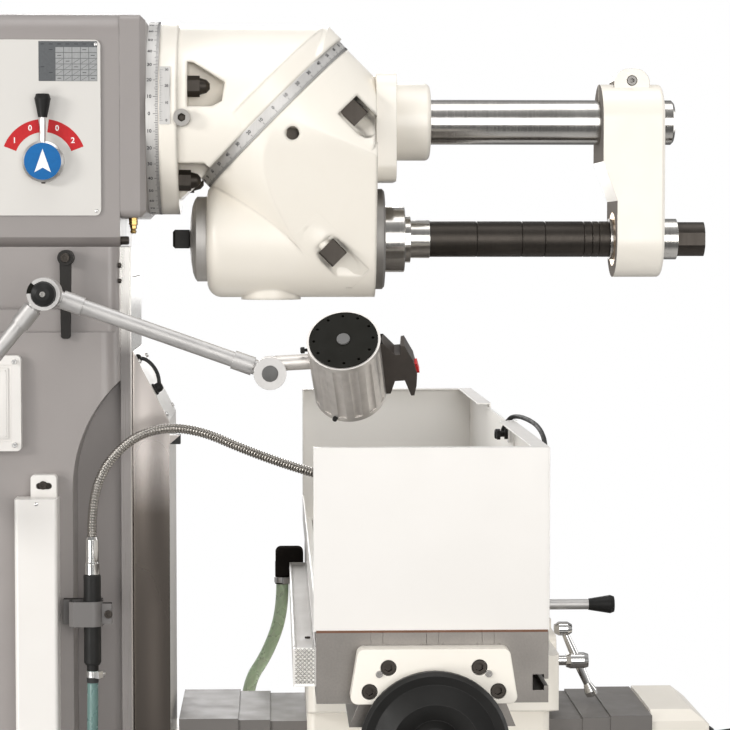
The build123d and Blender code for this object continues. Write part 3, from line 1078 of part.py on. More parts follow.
def make_knee():
    half = KNEE_W / 2
    knee = along_x(knee_outline(), -half, half)
    cavity_front = KNEE_FRONT_Y + KNEE_WALL
    cavity_back = WAY_Y - 2.5 * KNEE_WALL
    roof = KNEE_TOP - KNEE_WALL
    knee -= block((-half + KNEE_WALL, half - KNEE_WALL), (cavity_front, cavity_back), (KNEE_FOOT - 60, roof))
    knee += block((-half, half), (LIFT_Y - 45, LIFT_Y + 45), (KNEE_FOOT + 4, KNEE_FOOT + 26))
    knee -= rod(LIFT_R + FIT, (0, LIFT_Y, KNEE_FOOT - 60), (0, LIFT_Y, KNEE_FOOT + 40))
    tail = Pos(0, KNEE_TOP) * dovetail(KNEE_DOVE_W, KNEE_DOVE_FLARE, KNEE_DOVE_H)
    knee += along_y(tail, KNEE_FRONT_Y, HOOD_Y - 10)
    knee -= block((-30, 30), (SADDLE_FRONT_Y + 60, SADDLE_REAR_Y - 10), (roof - 1, knee_dove_top + 1))
    reach = WAY_W / 2 + GAP
    jaw = block((reach, reach + JAW_W), (WAY_Y - 80, way_back_y + GAP + JAW_L), (KNEE_FOOT, KNEE_TOP))
    jaw += block((WAY_W / 2 - WAY_LIP + 3, reach + JAW_W), (way_back_y + GAP, way_back_y + GAP + JAW_L),
                 (KNEE_FOOT, KNEE_TOP))
    jaw = fillet(jaw.edges().filter_by(Axis.Z).group_by(Axis.X)[-1], 5)
    for side in both_sides(jaw):
        knee += side
    knee -= rod(CROSS_R + 3, (0, KNEE_FRONT_Y - 1, CROSS_Z), (0, cavity_front + 1, CROSS_Z))
    knee -= rod(CRANK_SHAFT_R + 3, (0, KNEE_FRONT_Y - 1, CRANK_Z), (0, cavity_front + 1, CRANK_Z))
    save("knee", knee)
    outline = shape((KNEE_FRONT_Y, KNEE_TOE), (KNEE_FRONT_Y, FRONT_BLOCK_TOP), (front_block_y + 22, FRONT_BLOCK_TOP),
                    (front_block_y, FRONT_BLOCK_TOP - 18), (front_block_y, KNEE_TOE + 30), (front_block_y + 20, KNEE_TOE))
    front = along_x(outline, -FRONT_BLOCK_W / 2, FRONT_BLOCK_W / 2)
    front = chamfer(front.edges().filter_by(Axis.Y).group_by(Axis.Z)[-1], 14)
    front -= rod(CROSS_R + FIT, (0, KNEE_FRONT_Y + 1, CROSS_Z), (0, front_block_y - 1, CROSS_Z))
    front -= rod(CRANK_SHAFT_R + FIT, (0, KNEE_FRONT_Y + 1, CRANK_Z), (0, front_block_y - 1, CRANK_Z))
    save("knee_front_bracket", front)


def make_knee_drives():
    apex = (0, LIFT_Y, CRANK_Z)
    gear_span = 40.0
    screw = rod(LIFT_R, (0, LIFT_Y, LIFT_FOOT), (0, LIFT_Y, CRANK_Z - gear_span + 2))
    save("elevating_screw", screw + bevel_gear(apex, (0, 0, -1), 45, 1) + rod(
        1.2, (0, LIFT_Y, CRANK_Z - gear_span), (0, LIFT_Y, CRANK_Z - gear_span * 0.7)))
    crank = bevel_gear(apex, (0, -1, 0), 45, 1)
    crank += rod(CRANK_SHAFT_R, (0, LIFT_Y - gear_span * 0.74, CRANK_Z), (0, front_block_y - 34, CRANK_Z))
    hub_y = front_block_y - 14
    arm = make_hull([*(Pos(0, CRANK_Z) * Circle(20)).edges(), *(Pos(0, CRANK_Z - CRANK_R) * Circle(12)).edges()])
    crank += along_y(arm, hub_y - 16, hub_y)
    tip = (0, hub_y - 16, CRANK_Z - CRANK_R)
    save("elevating_crank", crank + grip(tip, (0, -1, 0), 78, 12))
    screw_end = SADDLE_REAR_Y - 60
    cross = rod(CROSS_R, (0, screw_end, CROSS_Z), (0, front_block_y - 30, CROSS_Z))
    wheel = handwheel((0, front_block_y - 8, CROSS_Z), (0, -1, 0), CROSS_WHEEL_R, 30, CROSS_R)
    foot = (0, front_block_y - 10, CROSS_Z + CROSS_WHEEL_R - 13)
    wheel += rod(5, foot, (0, foot[1] - 13, foot[2]))
    wheel += grip((0, foot[1] - 13, foot[2]), (0, -1, 0), 55, 10)
    save("cross_handwheel", wheel, cross)


def make_saddle():
    neck = SADDLE_NECK_W / 2
    wing = SADDLE_W / 2
    foot = KNEE_TOP + GAP
    wing_foot = saddle_top - SADDLE_WING_H
    outline = shape((-neck, foot), (-neck, wing_foot - 14), (-wing, wing_foot + 8), (-wing, saddle_top),
                    (wing, saddle_top), (wing, wing_foot + 8), (neck, wing_foot - 14), (neck, foot))
    saddle = along_y(outline, SADDLE_FRONT_Y, SADDLE_REAR_Y)
    saddle = fillet(saddle.edges().filter_by(Axis.Z), 12)
    upper = Pos(table_y, table_foot) * Rot(0, 0, 180) * dovetail(DOVE_W, DOVE_FLARE, DOVE_H + GAP, GAP)
    saddle -= along_x(upper, -wing - 1, wing + 1)
    lower = Pos(0, KNEE_TOP) * dovetail(KNEE_DOVE_W, KNEE_DOVE_FLARE, KNEE_DOVE_H + GAP, GAP)
    saddle -= along_y(lower, SADDLE_FRONT_Y - 1, SADDLE_REAR_Y + 1)
    saddle -= rod(SCREW_R + GAP, (-wing - 1, table_y, screw_z), (wing + 1, table_y, screw_z))
    nut = block((-22, 22), (table_y - 30, table_y + 30), (CROSS_Z - 18, knee_dove_top + 5))
    nut -= rod(CROSS_R + FIT, (0, table_y - 40, CROSS_Z), (0, table_y + 40, CROSS_Z))
    foot_y = SADDLE_REAR_Y - 16
    clip = shape((foot_y, wing_foot + 20), (foot_y, CLIP_Z - CLIP_H / 2), (CLIP_Y, CLIP_Z - CLIP_H / 2),
                 (CLIP_Y, CLIP_Z + CLIP_H / 2), (foot_y + 5, CLIP_Z + CLIP_H / 2), (foot_y + 5, wing_foot + 20))
    clip = along_x(clip, CLIP_X - 3, CLIP_X + 3)
    clip += rod(HOSE_R + 3.5, (CLIP_X, CLIP_Y, CLIP_Z - CLIP_H / 2), (CLIP_X, CLIP_Y, CLIP_Z + CLIP_H / 2))
    clip -= rod(HOSE_R + 1, (CLIP_X, CLIP_Y, CLIP_Z - CLIP_H), (CLIP_X, CLIP_Y, CLIP_Z + CLIP_H))
    save("saddle", saddle + nut + clip)
    face = SADDLE_FRONT_Y
    plate = Pos(0, (foot + saddle_top) / 2 + 30) * RectangleRounded(APRON_W, saddle_top - foot - 56, 12)
    apron = along_y(plate, face - APRON_T, face)
    tower = Pos(0, LEVER_Y + 2) * RectangleRounded(74, 44, 12)
    apron += along_z(tower, saddle_top + GAP, LEVER_Z - 10 - GAP)
    apron += block((-37, 37), (face - APRON_T, LEVER_Y), (saddle_top - 20, saddle_top + 14)) - block(
        (-60, 60), (face, 0), (0, saddle_top + GAP))
    apron -= rod(BALL_R * 0.7 + FIT, (0, face - APRON_T - 1, screw_z - 9), (0, face + 1, screw_z - 9))
    apron -= rod(5 + FIT, (0, LEVER_Y, LEVER_Z - 40), (0, LEVER_Y, LEVER_Z))
    save("apron", apron)


def make_operator_levers():
    lever = turned([(0, -10), (16, -10), (16, 8), (12, 12), (0, 12)], (0, LEVER_Y, LEVER_Z), (0, 0, 1))
    lever += rod(5, (0, LEVER_Y, LEVER_Z - 22), (0, LEVER_Y, LEVER_Z))
    lever += rod(LEVER_ROD_R, (0, LEVER_Y, LEVER_Z), (0, LEVER_END_Y + LEVER_KNOB_L, LEVER_Z))
    knob_y = LEVER_END_Y + LEVER_KNOB_L
    knob = turned([(0, 0), (LEVER_KNOB_R * 0.62, 0), (LEVER_KNOB_R, LEVER_KNOB_L * 0.85),
                              (LEVER_KNOB_R * 0.85, LEVER_KNOB_L), (0, LEVER_KNOB_L)],
                  (0, knob_y, LEVER_Z), (0, -1, 0))
    save("feed_lever", lever, knob)
    z = screw_z - 9
    shaft_end = SADDLE_FRONT_Y - 0.5
    crank = rod(BALL_R * 0.7, (0, shaft_end, z), (0, BALL_CRANK_Y + 15, z))
    crank += turned([(0, -15), (9, -15), (11, -9), (11, 9), (9, 15), (0, 15)], (0, BALL_CRANK_Y, z), (0, 1, 0))
    lean = Vector(0, sin(radians(BALL_CRANK_LEAN)), cos(radians(BALL_CRANK_LEAN)))
    hub = Vector(0, BALL_CRANK_Y, z)
    crank += turned([(0, -BALL_CRANK_ARM), (4.5, -BALL_CRANK_ARM), (6.5, 0), (4.5, BALL_CRANK_ARM),
                     (0, BALL_CRANK_ARM)], hub, lean)
    top = hub + lean * BALL_CRANK_ARM
    crank += turned([(0, -12), (6, -12), (BALL_R, -6), (BALL_R, 6), (6, 12), (0, 12)], top, (0, 1, 0))
    crank += turned([(0, -8), (5, -8), (9, 4), (8, 10), (4, 12), (0, 12)], hub - lean * (BALL_CRANK_ARM - 6), lean * -1)
    save("ball_crank", crank)


def make_way_covers():
    """Three telescoping channels at each end of the saddle, nested under one another."""
    rear_y = HOOD_Y - 11
    outer, middle, inner = [], [], []
    skirt = KNEE_TOP + 2
    for start, stop, depth, group in (
            (rear_y, rear_y - 78, 0, outer),
            (rear_y - 78 + COVER_LAP - 42, rear_y - 120, 1, middle),
            (rear_y - 120 + 36, SADDLE_REAR_Y, 2, inner),
            (KNEE_FRONT_Y + 55, KNEE_FRONT_Y, 0, outer),
            (KNEE_FRONT_Y + 92, KNEE_FRONT_Y + 32, 1, middle),
            (SADDLE_FRONT_Y, KNEE_FRONT_Y + 62, 2, inner)):
        drop = depth * (SHEET + GAP)
        half = COVER_W / 2 - drop
        top = COVER_TOP - drop
        y = sorted((start, stop))
        cover = block((-half, half), y, (skirt, top))
        cover -= block((-half + SHEET, half - SHEET), (y[0] - 1, y[1] + 1), (skirt - 1, top - SHEET))
        group.append(cover)
    save("way_cover_outer", *outer)
    save("way_cover_middle", *middle)
    save("way_cover_inner", *inner)


def make_hood():
    half = HOOD_W / 2
    ridge_y = WAY_Y - 1
    run = hypot(ridge_y - HOOD_Y, HOOD_RIDGE - HOOD_EAVE)
    normal_y = (HOOD_RIDGE - HOOD_EAVE) / run * SHEET
    normal_z = (ridge_y - HOOD_Y) / run * SHEET
    sheet = shape((HOOD_Y, KNEE_TOP), (HOOD_Y, HOOD_EAVE), (ridge_y, HOOD_RIDGE),
                  (ridge_y + 0.5, HOOD_RIDGE - normal_z - 1), (HOOD_Y + SHEET, HOOD_EAVE - normal_z),
                  (HOOD_Y + SHEET, KNEE_TOP))
    hood = along_x(sheet, -half, half)
    cheek = shape((HOOD_Y, KNEE_TOP), (HOOD_Y, HOOD_EAVE), (ridge_y, HOOD_RIDGE), (ridge_y, KNEE_TOP))
    for side in both_sides(along_x(cheek, half - SHEET, half)):
        hood += side
    pad = block((-half + 4, -half + 22), (HOOD_Y - 14, HOOD_Y), (HOOD_EAVE - 30, HOOD_EAVE - 18))
    save("way_hood", hood, pad)


def lamp_point(place, x=LAMP_X):
    return (x, *place)


def make_lamp_arms():
    near = LAMP_X - GAP / 2
    far = LAMP_X + GAP / 2
    base_y, base_z = LAMP_BASE
    bracket = block((-column_x - 8, -column_x), (base_y - 30, base_y + 30), (base_z - 36, base_z + 22))
    bracket += rod(12, (-column_x - 8, base_y, base_z), (far + EYE_T, base_y, base_z))
    bracket += rod(EYE_R, (far, base_y, base_z), (far + EYE_T, base_y, base_z))
    bracket += rod(PIN_R, (near - EYE_T, base_y, base_z), (far, base_y, base_z))
    save("lamp_bracket", bracket)
    near_x = near - EYE_T / 2
    far_x = far + EYE_T / 2
    lower = rod(EYE_R, lamp_point(LAMP_BASE, near), lamp_point(LAMP_BASE, near - EYE_T))
    lower += rod(EYE_R, lamp_point(LAMP_ELBOW, near), lamp_point(LAMP_ELBOW, near - EYE_T))
    lower += arm_tube(lamp_point(LAMP_BASE, near_x), lamp_point(LAMP_ELBOW, near_x))
    lower -= rod(PIN_R + FIT, lamp_point(LAMP_BASE, near + 1), lamp_point(LAMP_BASE, near - EYE_T - 1))
    lower += rod(PIN_R, lamp_point(LAMP_ELBOW, near), lamp_point(LAMP_ELBOW, far + EYE_T))
    lower += turned([(0, 0), (EYE_R * 0.78, 0), (EYE_R * 0.7, 6), (EYE_R * 0.4, 10), (0, 11)],
                    lamp_point(LAMP_ELBOW, near - EYE_T), (-1, 0, 0))
    save("lamp_lower_arm", lower)
    upper = rod(EYE_R, lamp_point(LAMP_ELBOW, far), lamp_point(LAMP_ELBOW, far + EYE_T))
    upper += rod(EYE_R, lamp_point(LAMP_WRIST, far), lamp_point(LAMP_WRIST, far + EYE_T))
    upper += arm_tube(lamp_point(LAMP_ELBOW, far_x), lamp_point(LAMP_WRIST, far_x))
    upper -= rod(PIN_R + FIT, lamp_point(LAMP_ELBOW, far - 1), lamp_point(LAMP_ELBOW, far + EYE_T + 1))
    upper += rod(PIN_R, lamp_point(LAMP_WRIST, near - EYE_T), lamp_point(LAMP_WRIST, far))
    save("lamp_upper_arm", upper)


def arm_tube(start, end):
    """Arm tube with a thicker sleeve at each end."""
    run = (Vector(*end) - Vector(*start)).normalized()
    first = Vector(*start) + run * (EYE_R - 3)
    last = Vector(*end) - run * (EYE_R - 3)
    arm = rod(ARM_R, first, last)
    arm += rod(SLEEVE_R, first + run * 5, first + run * (SLEEVE_L + 5))
    return arm + rod(SLEEVE_R, last - run * 5, last - run * (SLEEVE_L + 5))


def make_lamp_head():
    aim = Vector(*LAMP_AIM).normalized()
    back = Vector(*LAMP_BACK)
    frame = Plane(origin=back, x_dir=Vector(0, -1, 0) + aim * aim.Y, z_dir=aim)
    outline = Circle(LAMP_R)
    outline -= [loc * Circle(12) for loc in PolarLocations(LAMP_R + 10.4, LAMP_FLUTES)]
    inner = LAMP_R - LAMP_RIM
    body = Pos(0, 0, 7) * extrude(outline, LAMP_L - 14)
    body += Cylinder(LAMP_R, 7, align=(Align.CENTER, Align.CENTER, Align.MIN))
    body += Pos(0, 0, LAMP_L - 7) * Cylinder(LAMP_R, 7, align=(Align.CENTER, Align.CENTER, Align.MIN))
    body -= Cylinder(inner, 5, align=(Align.CENTER, Align.CENTER, Align.MIN))
    body -= Pos(0, 0, LAMP_L - 14) * Cylinder(inner, 20, align=(Align.CENTER, Align.CENTER, Align.MIN))
    near = LAMP_X - GAP / 2
    wrist = Vector(*lamp_point(LAMP_WRIST, near - EYE_T / 2))
    start = wrist + Vector(0, -6, NECK_RISE)
    neck = rod(NECK_R, start, back + aim * LAMP_L * 0.36)
    neck = neck & block((LAMP_X - 100, near), (back.Y - 100, start.Y), (start.Z - 40, start.Z + 40))
    hollow = Pos(0, 0, LAMP_L / 2) * Cylinder(LAMP_R - 8, 2 * LAMP_L)
    head = frame.location * body + (neck - frame.location * hollow)
    head += rod(EYE_R, lamp_point(LAMP_WRIST, near), lamp_point(LAMP_WRIST, near - EYE_T))
    head -= rod(PIN_R + FIT, lamp_point(LAMP_WRIST, near + 1), lamp_point(LAMP_WRIST, near - EYE_T - 1))
    save("lamp_housing", head)
    cover = Cylinder(inner, 7, align=(Align.CENTER, Align.CENTER, Align.MAX))
    cover = Pos(0, 0, 5) * cover
    cover -= [loc * Pos(0, 0, 2) * Cylinder(2, 12) for loc in PolarLocations(inner - 6, 12)]
    cover += Pos(0, 0, -2) * Cylinder(8, 2, align=(Align.CENTER, Align.CENTER, Align.MAX))
    lens = Pos(0, 0, LAMP_L - 14) * Cylinder(inner, 9, align=(Align.CENTER, Align.CENTER, Align.MIN))
    save("lamp_lens", frame.location * lens)
    grip_in, grip_out = LAMP_R + 22, LAMP_R + 40
    outline = shape((LAMP_R - 2, 2), (LAMP_R + 3, 2), (LAMP_R + 15, 25), (grip_in, 25), (grip_in + 2, 9),
                    (grip_in + 6, 8), (grip_out - 3, 40), (grip_out, 68), (grip_out - 2, 90),
                    (grip_in + 12, LAMP_L + 4), (grip_in + 8, LAMP_L + 4), (grip_in + 2, 78),
                    (LAMP_R + 12, 78), (LAMP_R + 5, LAMP_L - 3), (LAMP_R - 2, LAMP_L - 3))
    handle = extrude(Plane.XZ * outline, 8, both=True)
    handle -= Cylinder(LAMP_R, 300)
    slot = Pos(grip_out - 1, 0, 60) * Rot(0, 6, 0)
    handle -= slot * Box(9, 9, 20)
    rocker = slot * Pos(-0.6, 0, 0) * Box(7.4, 8.2, 18.6)
    save("lamp_fittings", *[frame.location * piece for piece in (cover, handle, rocker)])


make_base()
make_column()
make_column_furniture()
make_hoses(make_coolant())
make_ram()
make_ram_levers()
make_swivel()
make_head()
make_overarm()
make_support()
make_spindle()
make_table()
make_table_screw()
make_guard()
make_trough()
make_knee()
make_knee_drives()
make_saddle()
make_operator_levers()
make_way_covers()
make_hood()
make_lamp_arms()
make_lamp_head()
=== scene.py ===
"""Looks of a hand operated universal knee-type milling machine, in the frame of its solids.

Sizes are written in millimetres, unless a comment says metres; the helpers turn them into the frame's metres.
"""
import json
import math

import bpy
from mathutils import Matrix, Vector


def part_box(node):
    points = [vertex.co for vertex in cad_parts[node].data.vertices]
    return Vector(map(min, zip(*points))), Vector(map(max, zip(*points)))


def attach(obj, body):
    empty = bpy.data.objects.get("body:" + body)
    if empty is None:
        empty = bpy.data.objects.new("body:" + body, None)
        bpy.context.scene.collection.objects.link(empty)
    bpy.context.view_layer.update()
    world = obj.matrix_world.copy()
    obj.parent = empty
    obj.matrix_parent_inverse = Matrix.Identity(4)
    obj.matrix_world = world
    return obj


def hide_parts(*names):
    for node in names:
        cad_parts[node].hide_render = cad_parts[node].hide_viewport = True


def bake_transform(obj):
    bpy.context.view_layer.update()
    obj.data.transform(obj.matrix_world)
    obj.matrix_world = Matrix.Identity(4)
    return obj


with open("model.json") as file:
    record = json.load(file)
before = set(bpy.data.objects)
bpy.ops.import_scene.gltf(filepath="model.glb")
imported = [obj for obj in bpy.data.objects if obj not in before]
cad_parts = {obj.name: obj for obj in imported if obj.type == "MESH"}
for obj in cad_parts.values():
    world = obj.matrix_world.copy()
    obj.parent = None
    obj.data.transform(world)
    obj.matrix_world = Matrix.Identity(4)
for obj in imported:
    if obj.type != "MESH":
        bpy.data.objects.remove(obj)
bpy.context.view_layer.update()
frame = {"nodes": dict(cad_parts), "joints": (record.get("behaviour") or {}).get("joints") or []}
NODES = frame["nodes"]
JOINTS = {joint["name"]: joint for joint in frame["joints"]}

MM = 0.001
X, Y, Z = Vector((1, 0, 0)), Vector((0, 1, 0)), Vector((0, 0, 1))
PROUD = 0.12  # how far a printed or engraved mark stands off its surface
SMOOTH_ANGLE = math.radians(35)
FAR_LEFT = -600  # a plane before the whole left side

# Camera, fitted to the photograph, in metres
CAMERA_AT = Vector((-3.240, -0.075, 1.396))
CAMERA_YAW = math.radians(2.13)  # to the right of straight at the machine
CAMERA_PITCH = math.radians(2.93)  # down
CAMERA_LENS, SENSOR = 118.46, 36.0

# Hose routes, the same points as the solids
GOOSENECK_ROUTE = ((-190, 159, 1022), (-190, 159, 1070), (-190, 138, 1121), (-190, 92, 1158), (-190, 30, 1161),
                   (-186, -44, 1128), (-180, -122, 1101), (-168, -176, 1088), (-148, -226, 1062))
SUPPLY_ROUTE = ((-196, 176, 112), (-198, 178, 250), (-208, 168, 470), (-198, 162, 680), (-190, 159, 780),
                (-190, 159, 858))
DRAIN_ROUTE = ((202, -84, 905), (202, -84, 862), (204, -62, 802), (206, -32, 758), (206, -30, 648),
               (211, -26, 500), (208, -24, 360), (206, -26, 240))
GUARD_LEAD_ROUTE = ((-128, -370, 1150), (-128, -377, 1167), (-142, -388, 1171), (-178, -398, 1169),
                    (-220, -406, 1164), (-262, -410, 1152), (-292, -408, 1132), (-306, -405, 1106),
                    (-304, -400, 1086), (-298, -394, 1074), (-294, -386, 1070))
HOOD_LEAD_ROUTE = ((-80, 78, 1206), (-80, 78, 1217), (-80, 83, 1230), (-80, 92, 1240), (-80, 100, 1244),
                   (-80, 106, 1243))
GOOSENECK_D, SUPPLY_D, DRAIN_D, LEAD_D, HOOD_LEAD_D = 11.6, 14, 18, 6, 5


def mm(*values):
    """A point or direction given in millimetres."""
    return Vector(values) * MM


def joint_at(name):
    """Where a joint's axis lies."""
    return Vector(JOINTS[name]["pos_m"])


# Materials

def new_material(name):
    """A material and its node tree and main shader."""
    made = bpy.data.materials.new(name)
    made.use_nodes = True
    return made, made.node_tree, made.node_tree.nodes["Principled BSDF"]


def feed(tree, made, inputs):
    """Links the named sockets of a node to outputs, or sets their values."""
    for key, value in inputs.items():
        if isinstance(value, bpy.types.NodeSocket):
            tree.links.new(value, made.inputs[key])
        else:
            made.inputs[key].default_value = value


def node(tree, kind, inputs=None, **settings):
    """One shader node with its sockets linked or set."""
    made = tree.nodes.new("ShaderNode" + kind)
    for key, value in settings.items():
        setattr(made, key, value)
    feed(tree, made, inputs or {})
    return made


def calc(tree, operation, *values):
    """Result of one sum."""
    return node(tree, "Math", dict(enumerate(values)), operation=operation).outputs[0]


def split(tree, vector):
    """The three parts of a vector."""
    return node(tree, "SeparateXYZ", {0: vector}).outputs


def between(tree, value, low, high, to=(0.0, 1.0), **settings):
    """Where a value lies between two others."""
    inputs = {"Value": value, "From Min": low, "From Max": high, "To Min": to[0], "To Max": to[1]}
    return node(tree, "MapRange", inputs, **settings).outputs[0]


def place(tree, stretch=(1, 1, 1)):
    """Surface position, stretched along each axis."""
    where = node(tree, "TexCoord").outputs["Object"]
    return node(tree, "Mapping", {"Vector": where, "Scale": stretch}).outputs[0]


def noise(tree, scale, detail, stretch=(1, 1, 1)):
    """Soft noise over the surface."""
    inputs = {"Vector": place(tree, stretch), "Scale": scale, "Detail": detail}
    return node(tree, "TexNoise", inputs).outputs[0]


def ramp(tree, factor, *stops):
    """Colours or greys picked by a factor, from (position, value) stops."""
    made = node(tree, "ValToRGB", {"Fac": factor})
    points = made.color_ramp.elements
    while len(points) < len(stops):
        points.new(0.5)
    for point, (position, value) in zip(points, stops):
        point.position = position
        point.color = (*value, 1) if isinstance(value, tuple) else (value, value, value, 1)
    return made.outputs["Color"]


def mottle(tree, scale, detail, low, high, stretch=(1, 1, 1)):
    """Colours or greys that change softly over the surface."""
    return ramp(tree, noise(tree, scale, detail, stretch), (0.3, low), (0.7, high))


def tint(colour, factor, lift=0.0):
    """A darker or lighter tone of a colour."""
    return tuple(min(1.0, factor * c + lift) for c in colour)


def mix(tree, factor, first, second, blend="MIX"):
    """Blend of two colours."""
    made = node(tree, "Mix", data_type="RGBA", blend_type=blend)
    first, second = ((*c, 1) if isinstance(c, tuple) else c for c in (first, second))
    feed(tree, made, {0: factor, 6: first, 7: second})
    return made.outputs[2]


def soft_edges(tree, radius):
    """Rounded edge normal, and a mask that is dark on edges and bright on flats."""
    rounded = node(tree, "Bevel", {"Radius": radius * MM}, samples=6).outputs[0]
    flat = node(tree, "NewGeometry").outputs["Normal"]
    alike = node(tree, "VectorMath", {0: rounded, 1: flat}, operation="DOT_PRODUCT").outputs["Value"]
    return rounded, ramp(tree, alike, (0.86, 0.0), (0.995, 1.0))


def bump(tree, shader, height, strength, distance, normal=None):
    """Fine relief on the shader, over an optional rounded normal."""
    inputs = {"Height": height, "Strength": strength, "Distance": distance * MM}
    if normal is not None:
        inputs["Normal"] = normal
    feed(tree, shader, {"Normal": node(tree, "Bump", inputs).outputs[0]})


def paint(name, colour, shade, rough=0.36, peel=0.12, edge=1.6, coat=0.25, gloss=0.5):
    """Sprayed machine enamel: orange peel, slow tone changes, dust, and a darker tone on edges and creases."""
    made, tree, shader = new_material(name)
    rounded, flat = soft_edges(tree, edge)
    tone = ramp(tree, noise(tree, 3.2, 4), (0.32, shade), (0.62, colour))
    dust = ramp(tree, noise(tree, 46, 6), (0.35, 0.0), (0.75, 0.22))
    body = mix(tree, dust, tone, shade)
    # darker tone on edges and creases
    edge_tone = mix(tree, noise(tree, 90, 4), body, tint(shade, 0.72))
    feed(tree, shader, {"Base Color": mix(tree, flat, edge_tone, body),
                        "Roughness": mottle(tree, 30, 5, rough - 0.06, rough + 0.08),
                        "Specular IOR Level": gloss, "Coat Weight": coat, "Coat Roughness": 0.22})
    bump(tree, shader, noise(tree, 620, 2), peel, 0.35, rounded)
    return made


def metal(name, colour, rough, grain, mark=0.12, edge=0.5, stain=0.25, metallic=1.0):
    """Machined metal with tool marks; grain stretches the marks across each axis."""
    made, tree, shader = new_material(name)
    rounded, flat = soft_edges(tree, edge)
    lines = noise(tree, 1.0, 3, grain)
    tone = mix(tree, lines, tint(colour, 0.72), colour)
    tone = mix(tree, 0.8, tone, mottle(tree, 14, 5, 1.0 - stain, 1.0), "MULTIPLY")
    feed(tree, shader, {"Base Color": mix(tree, flat, tint(colour, 1.12), tone), "Metallic": metallic,
                        "Roughness": ramp(tree, lines, (0.25, rough - 0.06), (0.75, rough + 0.09))})
    bump(tree, shader, lines, mark, 0.12, rounded)
    return made


def plastic(name, colour, rough=0.3, texture=260, gloss=0.3):
    """Moulded plastic with a fine grain and a lighter tone on edges and creases."""
    made, tree, shader = new_material(name)
    rounded, flat = soft_edges(tree, 0.9)
    tone = mottle(tree, 25, 4, tint(colour, 0.78), colour)
    feed(tree, shader, {"Base Color": mix(tree, flat, tint(colour, 1.5, 0.015), tone),
                        "Roughness": mottle(tree, 60, 4, rough - 0.05, rough + 0.1),
                        "Specular IOR Level": gloss})
    bump(tree, shader, noise(tree, texture * 4, 2), 0.1, 0.2, rounded)
    return made


# Heights between which a finish changes, in metres: the hood's painted reflection and the way plates' paint
HOOD_REFLECTION_FADE, WAY_FADE = (1.04, 1.12), (1.29, 1.25)


def wavy_sheet(name, colour, light, rough):
    """Thin bright sheet, slightly wavy over its height, with a painted reflection of the room: pale at its top,
    dark with soft upright streaks below.
    """
    made, tree, shader = new_material(name)
    # pale top band: painted reflection of the bright room
    top = between(tree, split(tree, place(tree))[2], *HOOD_REFLECTION_FADE)
    # dark streaked body: painted reflection of the darker room lower down
    body = mottle(tree, 9, 1, tint(colour, 0.62), colour, (1, 1, 0.12))
    feed(tree, shader, {"Base Color": mix(tree, top, body, light), "Metallic": 1.0,
                        "Roughness": mottle(tree, 12, 1, rough, rough + 0.06, (1, 1, 0.2))})
    bump(tree, shader, noise(tree, 1.0, 0, (18, 30, 4.5)), 1.0, 2.0)
    return made


def way_plate(name):
    """Hardened way plate: bright at its top, painted over on its flanks lower down."""
    made, tree, shader = new_material(name)
    rounded, _ = soft_edges(tree, 0.6)
    flank = split(tree, node(tree, "NewGeometry").outputs["Normal"])[0]
    low = between(tree, split(tree, place(tree))[2], *WAY_FADE)
    painted = calc(tree, "MULTIPLY", calc(tree, "MULTIPLY", flank, flank), low)
    grind = noise(tree, 1.0, 3, (400, 400, 9))
    steel = mix(tree, grind, (0.62, 0.6, 0.57), (0.78, 0.76, 0.73))
    grey = mottle(tree, 5, 4, (0.25, 0.232, 0.224), (0.29, 0.266, 0.255))
    feed(tree, shader, {"Base Color": mix(tree, painted, steel, grey),
                        "Metallic": ramp(tree, painted, (0.0, 1.0), (1.0, 0.0)),
                        "Roughness": ramp(tree, grind, (0.3, 0.24), (0.7, 0.36))})
    bump(tree, shader, grind, 0.1, 0.1, rounded)
    return made


def printed(name, colour):
    """Ink or enamel of a printed or engraved mark, slightly uneven."""
    made, tree, shader = new_material(name)
    feed(tree, shader, {"Base Color": mottle(tree, 320, 4, tint(colour, 0.88), colour),
                        "Roughness": mottle(tree, 70, 3, 0.5, 0.62), "Specular IOR Level": 0.2})
    bump(tree, shader, noise(tree, 900, 2), 0.05, 0.1)
    return made


BRAIDS, BRAID_PITCH = 6, 18


def braided_hose(name, colour, shade):
    """Soft clear hose with a woven thread inside, drawn on the tube's own round and lengthwise position."""
    made, tree, shader = new_material(name)
    threads = []
    for lean in (1, -1):
        where = node(tree, "TexCoord").outputs["UV"]
        scale = (BRAIDS, lean / (BRAID_PITCH * MM), 1)
        around, along, _ = split(tree, node(tree, "Mapping", {"Vector": where, "Scale": scale}).outputs[0])
        wave = calc(tree, "FRACT", calc(tree, "ADD", around, along))
        threads.append(ramp(tree, wave, (0.0, 1.0), (0.12, 0.0), (0.88, 0.0), (1.0, 1.0)))
    woven = calc(tree, "MAXIMUM", *threads)
    faint = mix(tree, 0.25, (0, 0, 0), woven)
    tone = mottle(tree, 14, 1, shade, colour)
    feed(tree, shader, {"Base Color": mix(tree, faint, tone, tint(colour, 1.35, 0.05)),
                        "Roughness": mottle(tree, 50, 3, 0.22, 0.34),
                        "Transmission Weight": 0.3, "IOR": 1.45,
                        "Subsurface Weight": 0.2, "Subsurface Radius": (0.004, 0.006, 0.004)})
    bump(tree, shader, woven, 0.1, 0.2)
    return made


def clear_glass(name):
    """Lamp lens with a faint pebbled inside."""
    made, tree, shader = new_material(name)
    feed(tree, shader, {"Base Color": mottle(tree, 30, 3, (0.86, 0.9, 0.92), 0.97),
                        "Roughness": mottle(tree, 90, 3, 0.06, 0.16),
                        "Transmission Weight": 0.85, "IOR": 1.5})
    bump(tree, shader, noise(tree, 420, 1), 0.3, 0.4)
    return made


